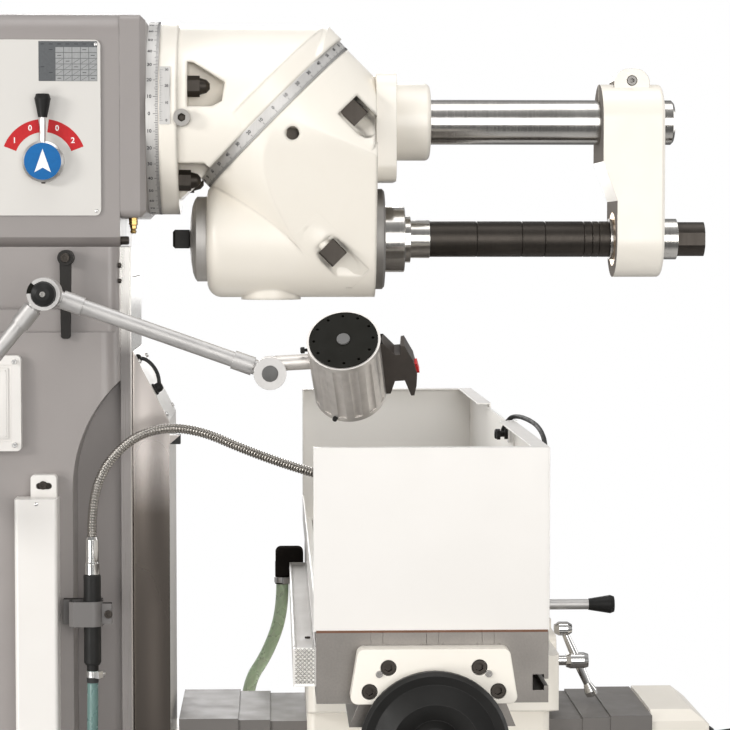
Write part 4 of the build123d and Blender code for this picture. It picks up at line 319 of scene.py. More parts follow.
CREAM = paint("cream_enamel", (0.86, 0.815, 0.735), (0.82, 0.77, 0.685))
CASTING = paint("cream_casting", (0.86, 0.815, 0.735), (0.82, 0.77, 0.685), edge=7)
SHEET_WHITE = paint("white_sheet_enamel", (0.73, 0.706, 0.677), (0.715, 0.69, 0.658), 0.34, 0.06, 0.8)
# Lighter copy of the white sheet: painted light on the guard's inward faces, the trough's end screen and the
# strainer cloth, where shade falls
SHEET_PAINTED_LIGHT = paint("white_sheet_painted_light", (0.92, 0.9, 0.86), (0.9, 0.875, 0.83), 0.4, 0.06, 0.8)
GREY = paint("warm_grey_enamel", (0.28, 0.256, 0.245), (0.255, 0.233, 0.224), 0.42, 0.16)
STRAP_GREY = paint("strap_grey_enamel", (0.14, 0.132, 0.127), (0.12, 0.112, 0.108), 0.42, 0.1, 0.8)
DARK_GREY = paint("cover_grey_enamel", (0.17, 0.159, 0.15), (0.145, 0.135, 0.127), 0.5, 0.06, 0.8, 0.0, 0.3)
BLACK_ENAMEL = paint("black_enamel", (0.019, 0.017, 0.015), (0.014, 0.0125, 0.011), 0.46, 0.08, 0.8, 0.0, 0.25)
MACHINED = paint("dull_machined_iron", (0.2, 0.183, 0.168), (0.165, 0.152, 0.14), 0.7, 0.05, 0.6, 0.0, 0.0)
COVER_SHEET = paint("cover_sheet", (0.5, 0.483, 0.46), (0.47, 0.453, 0.43), 0.5, 0.06, 0.6, 0.0, 0.1)
PANEL = paint("panel_white", (0.61, 0.59, 0.56), (0.59, 0.57, 0.54), 0.4, 0.04, 0.6)
TURNED = metal("turned_steel", (0.6, 0.58, 0.55), 0.17, (6, 900, 6))
CAP_STEEL = metal("cap_steel", (0.43, 0.413, 0.393), 0.56, (30, 500, 30), 0.06)
# Lighter copy of the cap steel for the rear cap: painted light
REAR_CAP_PAINTED_LIGHT = metal("cap_steel_painted_light", (0.74, 0.715, 0.685), 0.56, (30, 500, 30), 0.06)
GROUND = metal("ground_iron", (0.28, 0.26, 0.24), 0.4, (9, 420, 420), 0.14)
WAY_STEEL = way_plate("ground_ways")
# Hood cheeks: bright sheet whose pale top and dark body are a painted reflection
HOOD_SHEET = wavy_sheet("hood_sheet_painted_reflection", (0.2, 0.172, 0.15), (0.47, 0.43, 0.405), 0.26)
SCALE = metal("satin_scale", (0.72, 0.705, 0.685), 0.56, (40, 700, 40), 0.03, stain=0.06)
CHROME = metal("chrome", (0.8, 0.79, 0.77), 0.08, (30, 30, 30), 0.02, stain=0.1)
CHROME_HOSE = metal("wound_hose_steel", (0.46, 0.435, 0.4), 0.2, (200, 200, 200), 0.05, edge=0.2)
SATIN = metal("satin_aluminium", (0.74, 0.73, 0.72), 0.32, (120, 120, 120), 0.06, stain=0.12)
LAMP_METAL = metal("lamp_aluminium", (0.72, 0.685, 0.65), 0.42, (90, 90, 90), 0.02, 0.15, 0.04, 0.7)
OXIDE = metal("black_oxide", (0.075, 0.066, 0.058), 0.42, (14, 700, 14), 0.12, stain=0.3)
TUBE = metal("brushed_tube", (0.6, 0.585, 0.572), 0.5, (300, 60, 60), 0.06, stain=0.1)
BRASS = metal("brass", (0.62, 0.42, 0.16), 0.25, (60, 60, 700), 0.1)
BRONZE = metal("bronze", (0.5, 0.34, 0.18), 0.32, (60, 700, 60), 0.1)
BLACK = plastic("black_plastic", (0.016, 0.0155, 0.0148), 0.42, gloss=0.2)
DULL_BLACK = plastic("dull_black", (0.022, 0.019, 0.017), 0.6, gloss=0.0)
LAMP_BLACK = plastic("lamp_black", (0.012, 0.0115, 0.009), 0.3, gloss=0.05)
HANDLE_GREY = plastic("handle_grey", (0.062, 0.053, 0.047), 0.45)
RUBBER = plastic("black_rubber", (0.03, 0.03, 0.03), 0.55, 90)
BROWN_SEAL = plastic("brown_seal", (0.16, 0.075, 0.045), 0.5, 90)
RED = plastic("red_plastic", (0.62, 0.03, 0.03), 0.3)
SMOKE = plastic("grey_plastic", (0.13, 0.128, 0.125), 0.4)
RED_INK = printed("red_ink", (0.5, 0.02, 0.024))
BLUE_INK = printed("blue_ink", (0.008, 0.125, 0.36))
WHITE_INK = printed("white_ink", (0.86, 0.86, 0.85))
DARK_INK = printed("dark_ink", (0.035, 0.035, 0.04))
CHART_DARK = printed("chart_dark", (0.11, 0.115, 0.12))
CHART_LIGHT = printed("chart_light", (0.33, 0.335, 0.335))
GREEN_HOSE = braided_hose("green_hose", (0.68, 0.82, 0.6), (0.58, 0.73, 0.5))
TEAL_HOSE = braided_hose("teal_hose", (0.18, 0.3, 0.28), (0.14, 0.24, 0.22))
LENS = clear_glass("lamp_lens_glass")


# Building pieces

def circle(at, across, other, radius, sides):
    """Points of a circle on two directions."""
    turns = [math.tau * s / sides for s in range(sides)]
    return [at + (across * math.cos(t) + other * math.sin(t)) * (radius * MM) for t in turns]


class Build:
    """Collects the points and faces of one piece, then makes it ride on a body."""

    def __init__(self):
        self.points, self.faces = [], []

    def add(self, points, faces):
        """More points, and faces that count these from zero."""
        start = len(self.points)
        self.points += [Vector(p) for p in points]
        self.faces += [[start + i for i in face] for face in faces]
        return self

    def skin(self, rings):
        """Skin over rings of equally many points, closed at both ends."""
        sides, last = len(rings[0]), len(rings) - 1
        faces = []
        for row in range(last):
            low, high = row * sides, (row + 1) * sides
            faces += [(low + s, low + (s + 1) % sides, high + (s + 1) % sides, high + s) for s in range(sides)]
        faces += [tuple(reversed(range(sides))), tuple(range(last * sides, (last + 1) * sides))]
        return self.add([p for ring in rings for p in ring], faces)

    def lathe(self, outline, at, along, sides):
        """Turned form from (radius, distance) points about an axis."""
        along = along.normalized()
        across = along.orthogonal().normalized()
        other = along.cross(across)
        return self.skin([circle(at + along * (distance * MM), across, other, radius, sides)
                          for radius, distance in outline])

    def tube(self, points, profile, sides):
        """Tube along a line of points; the profile gives its radius at each point."""
        rings, across = [], None
        for index, here in enumerate(points):
            before, after = points[max(index - 1, 0)], points[min(index + 1, len(points) - 1)]
            ahead = (after - before).normalized()
            across = ahead.orthogonal() if across is None else across - ahead * across.dot(ahead)
            across.normalize()
            rings.append(circle(here, across, ahead.cross(across), profile[index], sides))
        return self.skin(rings)

    def prism(self, outline, where, low, high):
        """Straight or wrapped prism over a closed outline of (x, y) points."""
        return self.skin([[where(x, y, height) for x, y in outline] for height in (low, high)])

    def slab(self, x, y, where, low=0.0, high=PROUD, cuts=1):
        """Thin block between two values of x and of y, cut along x so that it can follow a curve."""
        spans = [x[0] + (x[1] - x[0]) * i / cuts for i in range(cuts + 1)]
        return self.prism([(s, y[0]) for s in spans] + [(s, y[1]) for s in reversed(spans)], where, low, high)

    def text(self, words, size, where, x=0.0, y=0.0):
        """Plain figures centred on a place of the surface."""
        points, faces = figures(words)
        return self.add([where(x + p.x * size, y + p.y * size, p.z) for p in points], faces)

    def screw(self, at, out, radius, height=None):
        """Round screw head with a socket in it."""
        height = height or 0.7 * radius
        outline = ((1, 0), (1, 0.75), (0.88, 1), (0.52, 1), (0.5, 0.25))
        return self.lathe([(r * radius, h * height) for r, h in outline], at, out, 24)

    def mesh(self, name, material):
        """The piece as an object with its material, smooth where it is round."""
        made = bpy.data.meshes.new(name)
        made.from_pydata(self.points, [], self.faces)
        made.materials.append(material)
        made.update()
        obj = bpy.data.objects.new(name, made)
        bpy.context.scene.collection.objects.link(obj)
        made.shade_smooth()
        made.set_sharp_from_angle(angle=SMOOTH_ANGLE)
        return obj

    def piece(self, name, material, body, slot):
        """The finished piece, riding on a body."""
        obj = self.mesh(name, material)
        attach(obj, body)
        return obj


def thick_faces(cells, count):
    """Faces of a sheet: its cells, the same cells on its back, and the rim between them."""
    edges = {}
    for cell in cells:
        for a, b in zip(cell, cell[1:] + cell[:1]):
            edges[a, b] = True
    rim = [(b, a, a + count, b + count) for a, b in edges if (b, a) not in edges]
    return cells + [[count + i for i in reversed(cell)] for cell in cells] + rim


def curve_mesh(curve):
    """Mesh made from a curve, which is then removed."""
    holder = bpy.data.objects.new(curve.name, curve)
    made = bpy.data.meshes.new_from_object(holder)
    bpy.data.objects.remove(holder)
    bpy.data.curves.remove(curve)
    return made


FIGURES = {}


def figures(words):
    """Points and faces of a word of figures, one unit high, with a little thickness."""
    if words not in FIGURES:
        curve = bpy.data.curves.new("figures", "FONT")
        curve.body = words
        curve.align_x, curve.align_y = "CENTER", "CENTER"
        curve.resolution_u = 3
        curve.offset = 0.02
        flat = curve_mesh(curve)
        points = [Vector((v.co.x, v.co.y, h)) for h in (0.0, PROUD) for v in flat.vertices]
        cells = [tuple(p.vertices)[::-1] for p in flat.polygons]
        FIGURES[words] = (points, thick_faces(cells, len(flat.vertices)))
        bpy.data.meshes.remove(flat)
    return FIGURES[words]


def flat_on(origin, right, up):
    """Maps (x, y, height) onto a flat face."""
    out = right.cross(up).normalized()
    return lambda x, y, h: origin + (right * x + up * y + out * h) * MM


def round_on(centre, axis, zero, radius):
    """Maps (arc, along the axis, height) onto a round face; arc zero is at a direction."""
    side = axis.cross(zero)
    return lambda x, y, h: centre + (axis * y + (zero * math.cos(x / radius) + side * math.sin(x / radius))
                                     * (radius + h)) * MM


def polar_on(origin, right, up):
    """Maps (angle from up, radius, height) onto a flat face."""
    out = right.cross(up).normalized()
    return lambda x, y, h: origin + ((right * math.sin(x) + up * math.cos(x)) * y + out * h) * MM


def touch(name, start, toward):
    """Where a straight line first meets a solid."""
    found, spot, _, _ = NODES[name].ray_cast(start, toward.normalized())
    if not found:
        raise ValueError(f"the line from {start} misses {name}")
    return spot


def left_face(name, spot):
    """Where a line through a spot, along X, first meets a solid."""
    return touch(name, Vector((FAR_LEFT * MM, spot.y, spot.z)), X)


def dress(name, *materials, choose=None):
    """Gives a solid its materials; choose picks one by the middle and the direction of each face."""
    mesh = NODES[name].data
    mesh.materials.clear()
    for material in materials:
        mesh.materials.append(material)
    for face in mesh.polygons:
        face.material_index = int(choose(face.center, face.normal)) if choose else 0


def route_line(name, route):
    """Points of the smooth line of a hose or lead: a curve that the route's points pull on."""
    curve = bpy.data.curves.new(name, "CURVE")
    curve.dimensions = "3D"
    spline = curve.splines.new("NURBS")
    spline.points.add(len(route) - 1)
    for point, at in zip(spline.points, route):
        point.co = (*mm(*at), 1)
    spline.order_u = 3
    spline.use_endpoint_u = True
    spline.resolution_u = 16
    line = curve_mesh(curve)
    points = [v.co.copy() for v in line.vertices]
    bpy.data.meshes.remove(line)
    return points


def even_steps(points, step):
    """The same line with points at even distances, and its length in metres."""
    lengths = [(b - a).length for a, b in zip(points, points[1:])]
    total = sum(lengths)
    count = max(2, round(total / (step * MM)))
    made, index, passed = [], 0, 0.0
    for number in range(count + 1):
        goal = min(total * number / count, total - 1e-9)
        while passed + lengths[index] < goal and index < len(lengths) - 1:
            passed += lengths[index]
            index += 1
        made.append(points[index].lerp(points[index + 1], (goal - passed) / lengths[index]))
    return made, total


def hose_uv(obj, rings, sides, step):
    """Round and lengthwise position on a tube, for the woven thread."""
    layer = obj.data.uv_layers.new(name="around")
    for face in obj.data.polygons:
        wraps = {v % sides for v in face.vertices} == {0, sides - 1}
        for corner in face.loop_indices:
            vertex = obj.data.loops[corner].vertex_index
            turn = vertex % sides
            around = 1.0 if wraps and turn == 0 else turn / sides
            layer.data[corner].uv = (around, min(vertex // sides, rings) * step * MM)


# Camera, floor and light

def make_camera():
    data = bpy.data.cameras.new("camera")
    data.lens = CAMERA_LENS
    data.sensor_width = SENSOR
    camera = bpy.data.objects.new("camera", data)
    level = math.cos(CAMERA_PITCH)
    ahead = Vector((level * math.cos(CAMERA_YAW), -level * math.sin(CAMERA_YAW), -math.sin(CAMERA_PITCH)))
    camera.location = CAMERA_AT
    camera.rotation_mode = "QUATERNION"
    camera.rotation_quaternion = ahead.to_track_quat("-Z", "Y")
    bpy.context.scene.collection.objects.link(camera)
    bpy.context.scene.camera = camera


FLOOR_R, FLOOR_T, FLOOR_FADE, FLOOR_GAP = 1750, 4, 750, 0.5


def make_floor():
    """Pale round floor that fades out at its rim."""
    made, tree, shader = new_material("floor_pale")
    away = node(tree, "VectorMath", {0: place(tree)}, operation="LENGTH").outputs["Value"]
    seen = between(tree, away, FLOOR_FADE * MM, FLOOR_R * MM * 0.98, (1.0, 0.0),
                   interpolation_type="SMOOTHSTEP")
    feed(tree, shader, {"Base Color": mottle(tree, 2.5, 4, 0.74, 0.8),
                        "Roughness": mottle(tree, 9, 4, 0.5, 0.65), "Alpha": seen})
    floor = Build().lathe([(FLOOR_R, -FLOOR_T), (FLOOR_R, 0)], mm(0, 0, -FLOOR_GAP), Z, 96)
    floor.mesh("floor", made)


# Soft boxes, in metres: place, aim, size, power and colour
LIGHT_AIM = (0, 0, 1.35)
LIGHTS = {
    "key": ((-1.9, 2.9, 2.1), LIGHT_AIM, (0.8, 0.8), 53, (1.0, 0.985, 0.96)),
    "front": ((-3.6, -0.9, 1.7), LIGHT_AIM, (1.8, 2.2), 56, (1.0, 0.99, 0.97)),
    "top": ((-0.4, -0.3, 3.6), LIGHT_AIM, (2.4, 1.2), 22, (1.0, 1.0, 1.0)),
    "low": ((-2.4, 1.9, 0.6), (0, -0.2, 0.8), (1.0, 0.8), 24, (1.0, 0.99, 0.97)),
    "back": ((2.6, 0.6, 2.2), LIGHT_AIM, (2.0, 2.0), 60, (1.0, 0.99, 0.98)),
    "side": ((0.4, -3.0, 1.7), LIGHT_AIM, (1.4, 1.8), 20, (1.0, 0.99, 0.98)),
}


def area_light(name, at, aim, size, power, colour):
    """Soft box light."""
    data = bpy.data.lights.new(name, "AREA")
    data.shape = "RECTANGLE"
    data.size, data.size_y = size
    data.energy = power
    data.color = colour
    lamp = bpy.data.objects.new(name, data)
    lamp.location = at
    lamp.rotation_mode = "QUATERNION"
    lamp.rotation_quaternion = (Vector(aim) - Vector(at)).to_track_quat("-Z", "Y")
    bpy.context.scene.collection.objects.link(lamp)


def make_light():
    """White room: bright at the horizon and overhead, darker below, with soft boxes around."""
    scene = bpy.context.scene
    scene.view_settings.view_transform = "Standard"
    world = bpy.data.worlds.new("room")
    scene.world = world
    world.use_nodes = True
    tree = world.node_tree
    tree.nodes.clear()
    height = split(tree, node(tree, "TexCoord").outputs["Generated"])[2]
    glow = ramp(tree, between(tree, height, -1.0, 1.0), (0.0, 0.3), (0.4, 0.34), (0.5, 0.9), (0.6, 0.7),
                (0.74, 0.42), (0.86, 0.6), (1.0, 1.2))
    light = node(tree, "Background", {"Color": glow, "Strength": 0.7})
    white = node(tree, "Background", {"Color": (1, 1, 1, 1), "Strength": 1.0})
    seen = node(tree, "LightPath").outputs["Is Camera Ray"]
    both = node(tree, "MixShader", {0: seen, 1: light.outputs[0], 2: white.outputs[0]})
    node(tree, "OutputWorld", {"Surface": both.outputs[0]})
    for name, settings in LIGHTS.items():
        area_light(name, *settings)


# Hoses and leads

RIB_PITCH = 3.6
RIB_WAVE = (0.87, 1.01, 1.08, 1.08, 1.02, 0.9)  # radius over one turn of the wound strip
HOSE_STEP, HOSE_SIDES, HOSE_WALL = 6, 24, 2.2
LEAD_STEP, LEAD_SIDES = 2.5, 14


def make_gooseneck():
    """Wound metal hose: a rounded strip for each turn, with a groove between turns."""
    line = route_line("gooseneck_line", GOOSENECK_ROUTE)
    points, length = even_steps(line, RIB_PITCH / len(RIB_WAVE))
    profile = [GOOSENECK_D / 2 * RIB_WAVE[i % len(RIB_WAVE)] for i in range(len(points))]
    made = Build().tube(points, profile, HOSE_SIDES).piece("gooseneck", CHROME_HOSE, "frame", "bright_hose")
    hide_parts("gooseneck_hose")


def soft_hose(name, route, diameter, material, open_end):
    """Plain hose with its woven thread; an open end shows its bore."""
    points, length = even_steps(route_line(name + "_line", route), HOSE_STEP)
    profile = [diameter / 2] * len(points)
    inside = []
    if open_end:
        inside = [points[-1].copy(), points[-2].copy()] + points[-8:-2][::-1]
        profile += [diameter / 2 - HOSE_WALL] * len(inside)
    made = Build().tube(points + inside, profile, HOSE_SIDES).mesh(name, material)
    hose_uv(made, len(points + inside), HOSE_SIDES, HOSE_STEP)
    return made, points, length


def make_soft_hoses():
    made, points, length = soft_hose("supply_line", SUPPLY_ROUTE, SUPPLY_D, TEAL_HOSE, False)
    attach(made, "frame")
    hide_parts("supply_hose")
    made, points, length = soft_hose("drain_line", DRAIN_ROUTE, DRAIN_D, GREEN_HOSE, True)
    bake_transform(made)
    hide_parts("drain_hose")


def make_lead(name, route, diameter, body):
    """Thin black lead between two fittings of one body."""
    points, length = even_steps(route_line(name + "_line", route), LEAD_STEP)
    lead = Build().tube(points, [diameter / 2] * len(points), LEAD_SIDES)
    made = lead.piece(name, RUBBER, body, "black_plastic")
    return points


def make_leads():
    """Lead of the guard's switch, with its gland, and the short lead on the hood."""
    ends = make_lead("guard_lead", GUARD_LEAD_ROUTE, LEAD_D, "table")
    face = touch("splash_guard", ends[-1] - mm(0, 40, 0), Y)
    gland = Build().lathe([(7, 0), (7, 3), (5.6, 3.6), (5.6, 7), (4, 9), (3.1, 10)], face, -Y + Z * 0.3, 20)
    gland.piece("guard_gland", BLACK, "table", "black_plastic")
    make_lead("hood_lead", HOOD_LEAD_ROUTE, HOOD_LEAD_D, "knee")


# Finish of the solids

DUCT_BOLT, INDEX_PLUG = mm(0, 221, 1087), mm(0, 45, 1556)
LAMP_BACK = mm(-335, -157, 1277)
LAMP_AIM = Vector((0.758, -0.106, -0.643)).normalized()
LAMP_SIDE = (-Y + LAMP_AIM * LAMP_AIM.y).normalized()
LAMP_UP = LAMP_AIM.cross(LAMP_SIDE)
LAMP_R, LAMP_L = 45, 106

PLAIN = (
    (GREY, "base column ram ram_flange spindle_motor"),
    (CREAM, "overarm_bracket knee knee_front_bracket saddle apron end_brackets"),
    (TURNED, "shaft_bearings drive_shaft head_bearings overarm_bar angle_shaft spindle arbor elevating_screw"),
    (OXIDE, "lamp_bracket swivel_studs elevating_crank bracket_screws"),
    (DARK_GREY, "way_cover_outer way_cover_middle way_cover_inner"),
    (BLACK_ENAMEL, "ram_clamp_lever drawbar"),
    (GROUND, "elevating_nut table"),
    (CHROME, "hose_fittings ball_crank"),
    (SCALE, "swivel_scale_ring tilt_scale_ring"),
    (WAY_STEEL, "vertical_ways"),
    (PANEL, "panel_plate"),
    (BRONZE, "support_bush"),
    (TUBE, "lamp_upper_arm"),
    (LENS, "lamp_lens"),
)


def near_to(spot, reach):
    """Picks faces near a line along X."""
    return lambda point: math.hypot(point.y - spot.y, point.z - spot.z) < reach * MM


def dress_plain():
    """Solids of one material."""
    for material, names in PLAIN:
        for name in names.split():
            dress(name, material)


def dress_frame():
    slot = near_to(DUCT_BOLT, 9)
    dress("column_covers", SHEET_WHITE, OXIDE,
          choose=lambda p, n: slot(p) and (abs(n.x) < 0.7 or p.x > -182.5 * MM))
    tap = mm(*SUPPLY_ROUTE[-1])
    dress("coolant_tap", BLACK, STRAP_GREY,
          choose=lambda p, n: abs(n.z) < 0.5 and math.hypot(p.x - tap.x, p.y - tap.y) > 11.3 * MM)
    knob = joint_at("selector_turn").z + 56 * MM
    dress("selector_lever", SATIN, BLACK, choose=lambda p, n: p.z > knob)


def dress_head():
    plug = near_to(INDEX_PLUG, 12)
    dress("swivel_bracket", CASTING, CAP_STEEL, choose=lambda p, n: p.x < -123.5 * MM and plug(p))
    tilt = joint_at("head_tilt")
    ahead = Vector((0, -1, -1)).normalized()
    hole = tilt + ahead * 29.4 * MM + Vector((0, -1, 1)).normalized() * -5 * MM
    drilled = near_to(hole, 7.6)
    dress("head_casting", CASTING, OXIDE, choose=lambda p, n: p.x < -100 * MM and drilled(p))
    dress("tilt_bolts", OXIDE, CASTING, choose=lambda p, n: 120 * MM < (p - tilt).dot(ahead) < 162.5 * MM)
    # the rear cap gets the lighter copy: painted light
    dress("spindle_caps", CAP_STEEL, REAR_CAP_PAINTED_LIGHT, choose=lambda p, n: p.y > -100 * MM)
    low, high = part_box("arbor_support")
    screw = near_to(Vector((0, (low.y + high.y) / 2, high.z - 16 * MM)), 7.4)
    dress("arbor_support", CREAM, CAP_STEEL, MACHINED,
          choose=lambda p, n: 2 if n.y > 0.985 else p.x < -14 * MM and screw(p))
    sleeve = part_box("arbor_spacers")[0].y + 28.5 * MM
    dress("arbor_spacers", OXIDE, TURNED, choose=lambda p, n: sleeve < p.y < sleeve + 95 * MM)


def dress_knee():
    # the cheeks get the sheet with the painted reflection
    dress("way_hood", SHEET_WHITE, HOOD_SHEET, RUBBER,
          choose=lambda p, n: 2 if p.y < 58.5 * MM else 1 if abs(n.x) > 0.9 else 0)
    wheel = joint_at("cross_wheel_turn")
    dress("cross_handwheel", BLACK, TURNED,
          choose=lambda p, n: math.hypot(p.x - wheel.x, p.z - wheel.z) < 10.5 * MM)
    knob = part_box("feed_lever")[0].y + 34.5 * MM
    dress("feed_lever", TUBE, BLACK, choose=lambda p, n: p.y < knob)


def dress_table():
    low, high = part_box("splash_guard")
    middle = (low + high) / 2
    # the guard's inward faces get the lighter white: painted light against their shade
    dress("splash_guard", SHEET_WHITE, SHEET_PAINTED_LIGHT, choose=lambda p, n: n.dot(middle - p) > 0)
    elbow, screen = 189.5 * MM, -542.8 * MM
    # the screen at the trough's near end gets the lighter white: painted light
    dress("coolant_trough", SHEET_WHITE, DULL_BLACK, SHEET_PAINTED_LIGHT,
          choose=lambda p, n: 1 if p.x > elbow else 2 if p.x < screen and -118.5 < p.y / MM < -95.5 else 0)
    hub = near_to(joint_at("table_wheel_turn"), 14.5)
    dress("table_handwheel", BLACK, TURNED, choose=lambda p, n: p.x > -586 * MM and hub(p))


def dress_lamp():
    eye_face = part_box("lamp_lower_arm")[0].x + 10.8 * MM
    cap = near_to(joint_at("lamp_elbow_turn"), 17)
    dress("lamp_lower_arm", TUBE, BLACK, choose=lambda p, n: p.x < eye_face and cap(p))
    eye = near_to(joint_at("lamp_wrist_turn"), 17.5)
    dress("lamp_housing", LAMP_METAL, TUBE, choose=lambda p, n: eye(p))

    def fitting(point, _):
        """Cover, its middle, the red rocker or the handle."""
        side, along, up = ((point - LAMP_BACK).dot(way) / MM for way in (LAMP_SIDE, LAMP_AIM, LAMP_UP))
        if along < -2.1 and abs(side) < 9:
            return 1
        if side > 78 and abs(along - 60) < 9.8 and abs(up) < 4.3:
            return 2
        return 3 if side > LAMP_R + 1 else 0

    dress("lamp_fittings", LAMP_BLACK, SMOKE, RED, HANDLE_GREY, choose=fitting)


# Marks and small parts

PANEL_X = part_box("panel_plate")[0].x  # metres
SELECTOR = joint_at("selector_turn")
CHART_Y, CHART_Z = (153, 228), (1602, 1653)
CHART_ROWS, CHART_COLUMNS, CHART_LINE = 7, 7, 0.35
ARC_R = (37.7, 54.6)
ARC_SPAN = (math.radians(7), math.radians(69))


def make_chart():
    """Speed chart without words: dark ground, pale cells and plain strokes."""
    low, high = (Vector((PANEL_X, y * MM, z * MM)) for y, z in zip(CHART_Y, CHART_Z))
    on_chart = flat_on((low + high) / 2, -Y, Z)
    half_w, half_h = (CHART_Y[1] - CHART_Y[0]) / 2, (CHART_Z[1] - CHART_Z[0]) / 2
    wide, tall = 2 * half_w / CHART_COLUMNS, 2 * half_h / CHART_ROWS
    ground = Build().slab((-half_w, half_w), (-half_h, half_h), on_chart)
    ground.piece("panel_chart", CHART_DARK, "ram", "panel_paint")
    cells, strokes = Build(), Build()
    for row in range(CHART_ROWS):
        for column in range(CHART_COLUMNS):
            left, foot = -half_w + column * wide, half_h - (row + 1) * tall
            right, top, middle = left + wide, foot + tall, foot + tall / 2
            pale = row > 0 and column > 1
            if pale:
                cells.slab((left + CHART_LINE, right - CHART_LINE), (foot + CHART_LINE, top - CHART_LINE),
                           on_chart, PROUD, 2 * PROUD)
            if (row * 3 + column * 5) % 4 == 0 or row == 0:
                strokes.slab((left + 0.25 * wide, left + 0.7 * wide),
                             (middle - CHART_LINE, middle + CHART_LINE), on_chart, 2 * PROUD, 3 * PROUD)
            elif pale and row > 2:
                strokes.prism([(left + 1, foot + 1), (left + 1.6, foot + 1), (right - 1, top - 1),
                               (right - 1.6, top - 1)], on_chart, 2 * PROUD, 3 * PROUD)
    cells.piece("panel_chart_cells", CHART_LIGHT, "ram", "panel_paint")
    strokes.piece("panel_chart_strokes", DARK_INK, "ram", "panel_paint")


def make_dial():
    """Red arcs with plain figures round the selector."""
    around = polar_on(Vector((PANEL_X, SELECTOR.y, SELECTOR.z)), -Y, Z)
    arcs, numbers = Build(), Build()
    for low, high in (ARC_SPAN, (-ARC_SPAN[1], -ARC_SPAN[0])):
        arcs.slab((low, high), ARC_R, around, cuts=24)
    arcs.piece("panel_arcs", RED_INK, "ram", "panel_paint")
    for words, turn in (("1", -54), ("0", -22), ("0", 22), ("2", 54)):
        numbers.text(words, 10, flat_on(around(math.radians(turn), sum(ARC_R) / 2, PROUD), -Y, Z))
    numbers.piece("panel_figures", WHITE_INK, "ram", "panel_paint")


def make_panel_rivets():
    low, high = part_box("panel_plate")
    inset = 6 * MM
    rivets = Build()
    for y in (low.y + inset, high.y - inset):
        for z in (low.z + inset, high.z - inset):
            rivets.lathe([(2.4, 0), (2.2, 0.7), (1.3, 1.2)], Vector((PANEL_X, y, z)), -X, 20)
    rivets.piece("panel_rivets", SATIN, "ram", "steel")


def make_selector_face():
    """Blue disc with a plain white arrow on the selector's hub, and the hub's set screw."""
    front = touch("selector_lever", SELECTOR - mm(100, 0, 0), X)
    disc = Build().lathe([(23.6, 0), (23.6, 0.4), (23.2, 0.5)], front, -X, 72)
    disc.piece("selector_disc", BLUE_INK, "selector", "panel_paint")
    outline = [(0, 16), (-10.5, -14), (0, -8), (10.5, -14)]
    arrow = Build().prism(outline, flat_on(front, -Y, Z), 0.5, 0.5 + PROUD)
    arrow.piece("selector_arrow", WHITE_INK, "selector", "panel_paint")
    screw = Build().screw(SELECTOR + mm(-8, 0, -26.4), -Z, 2.6)
    screw.piece("selector_set_screw", OXIDE, "selector", "black_steel")


# Length of a scale's lines at tens, at fives and between, and half their width
RING_TICKS, RING_LINE = (6.2, 4.6, 3.2), 0.3
VERNIER_TICKS, VERNIER_LINE = (4.6, 3.6, 2.4), 0.14


def tick_length(step, ticks):
    """Length of one line of a scale."""
    return ticks[0 if step % 10 == 0 else 1 if step % 5 == 0 else 2]


def scale_marks(name, where, radius, start, figure_at, size, body, upright):
    """Degree ticks and figures all round a scale ring."""
    marks = Build()
    for step in range(360):
        arc = step * math.radians(1) * radius
        marks.slab((arc - RING_LINE, arc + RING_LINE), (start, start + tick_length(step, RING_TICKS)), where)
        if step % 10 == 0:
            shown = step % 180
            words = str(min(shown, 180 - shown))
            if upright:
                marks.text(words, size, lambda x, y, h, arc=arc: where(arc + y, figure_at - x, h))
            else:
                marks.text(words, size, where, arc, figure_at)
    marks.piece(name, DARK_INK, body, "panel_paint")


def make_swivel_scale():
    low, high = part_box("swivel_scale_ring")
    radius = (high.z - low.z) / 2 / MM
    where = round_on(Z * (low.z + high.z) / 2, Y, -X, radius)
    scale_marks("swivel_scale_marks", where, radius, low.y / MM + 0.4, high.y / MM - 4.4, 6.4, "ram", True)


TILT_RING_R = 130.5


def make_tilt_scale():
    where = round_on(joint_at("head_tilt"), (Y + Z).normalized(), -X, TILT_RING_R)
    scale_marks("tilt_scale_marks", where, TILT_RING_R, 0.5, 11, 6.2, "swivel", False)


VERNIER_R, VERNIER_T, VERNIER_STEPS = 128, 1.4, 30
VERNIER_MARGIN, VERNIER_EDGE, VERNIER_FIGURE = 5, 0.3, 4.6
VERNIER_Y = (60.5, 74.4)
VERNIER_TURN = (math.radians(-6), math.radians(28.5))


def make_vernier():
    """Short scale plate on the swivel flange, next to the swivel scale ring."""
    where = round_on(Z * joint_at("head_swivel").z, Y, -X, VERNIER_R)
    right, left = VERNIER_Y
    low, high = (turn * VERNIER_R for turn in VERNIER_TURN)
    plate = Build().slab((low, high), (right, left), where, 0.0, VERNIER_T, 24)
    plate.piece("vernier_plate", SCALE, "swivel", "steel")
    marks = Build()
    for step in range(VERNIER_STEPS + 1):
        arc = low + VERNIER_MARGIN + step * (high - low - 2 * VERNIER_MARGIN) / VERNIER_STEPS
        end = left - VERNIER_EDGE
        marks.slab((arc - VERNIER_LINE, arc + VERNIER_LINE), (end - tick_length(step, VERNIER_TICKS), end), where,
                   VERNIER_T, VERNIER_T + PROUD)
        if step % 10 == 0:
            marks.text(str(step), VERNIER_FIGURE,
                       lambda x, y, h, arc=arc: where(arc + y, right + VERNIER_FIGURE - x, VERNIER_T + h))
    marks.piece("vernier_marks", DARK_INK, "swivel", "panel_paint")


GIB_SCREWS = ((1366, 3.4), (1346, 3), (1300, 3))  # height and radius


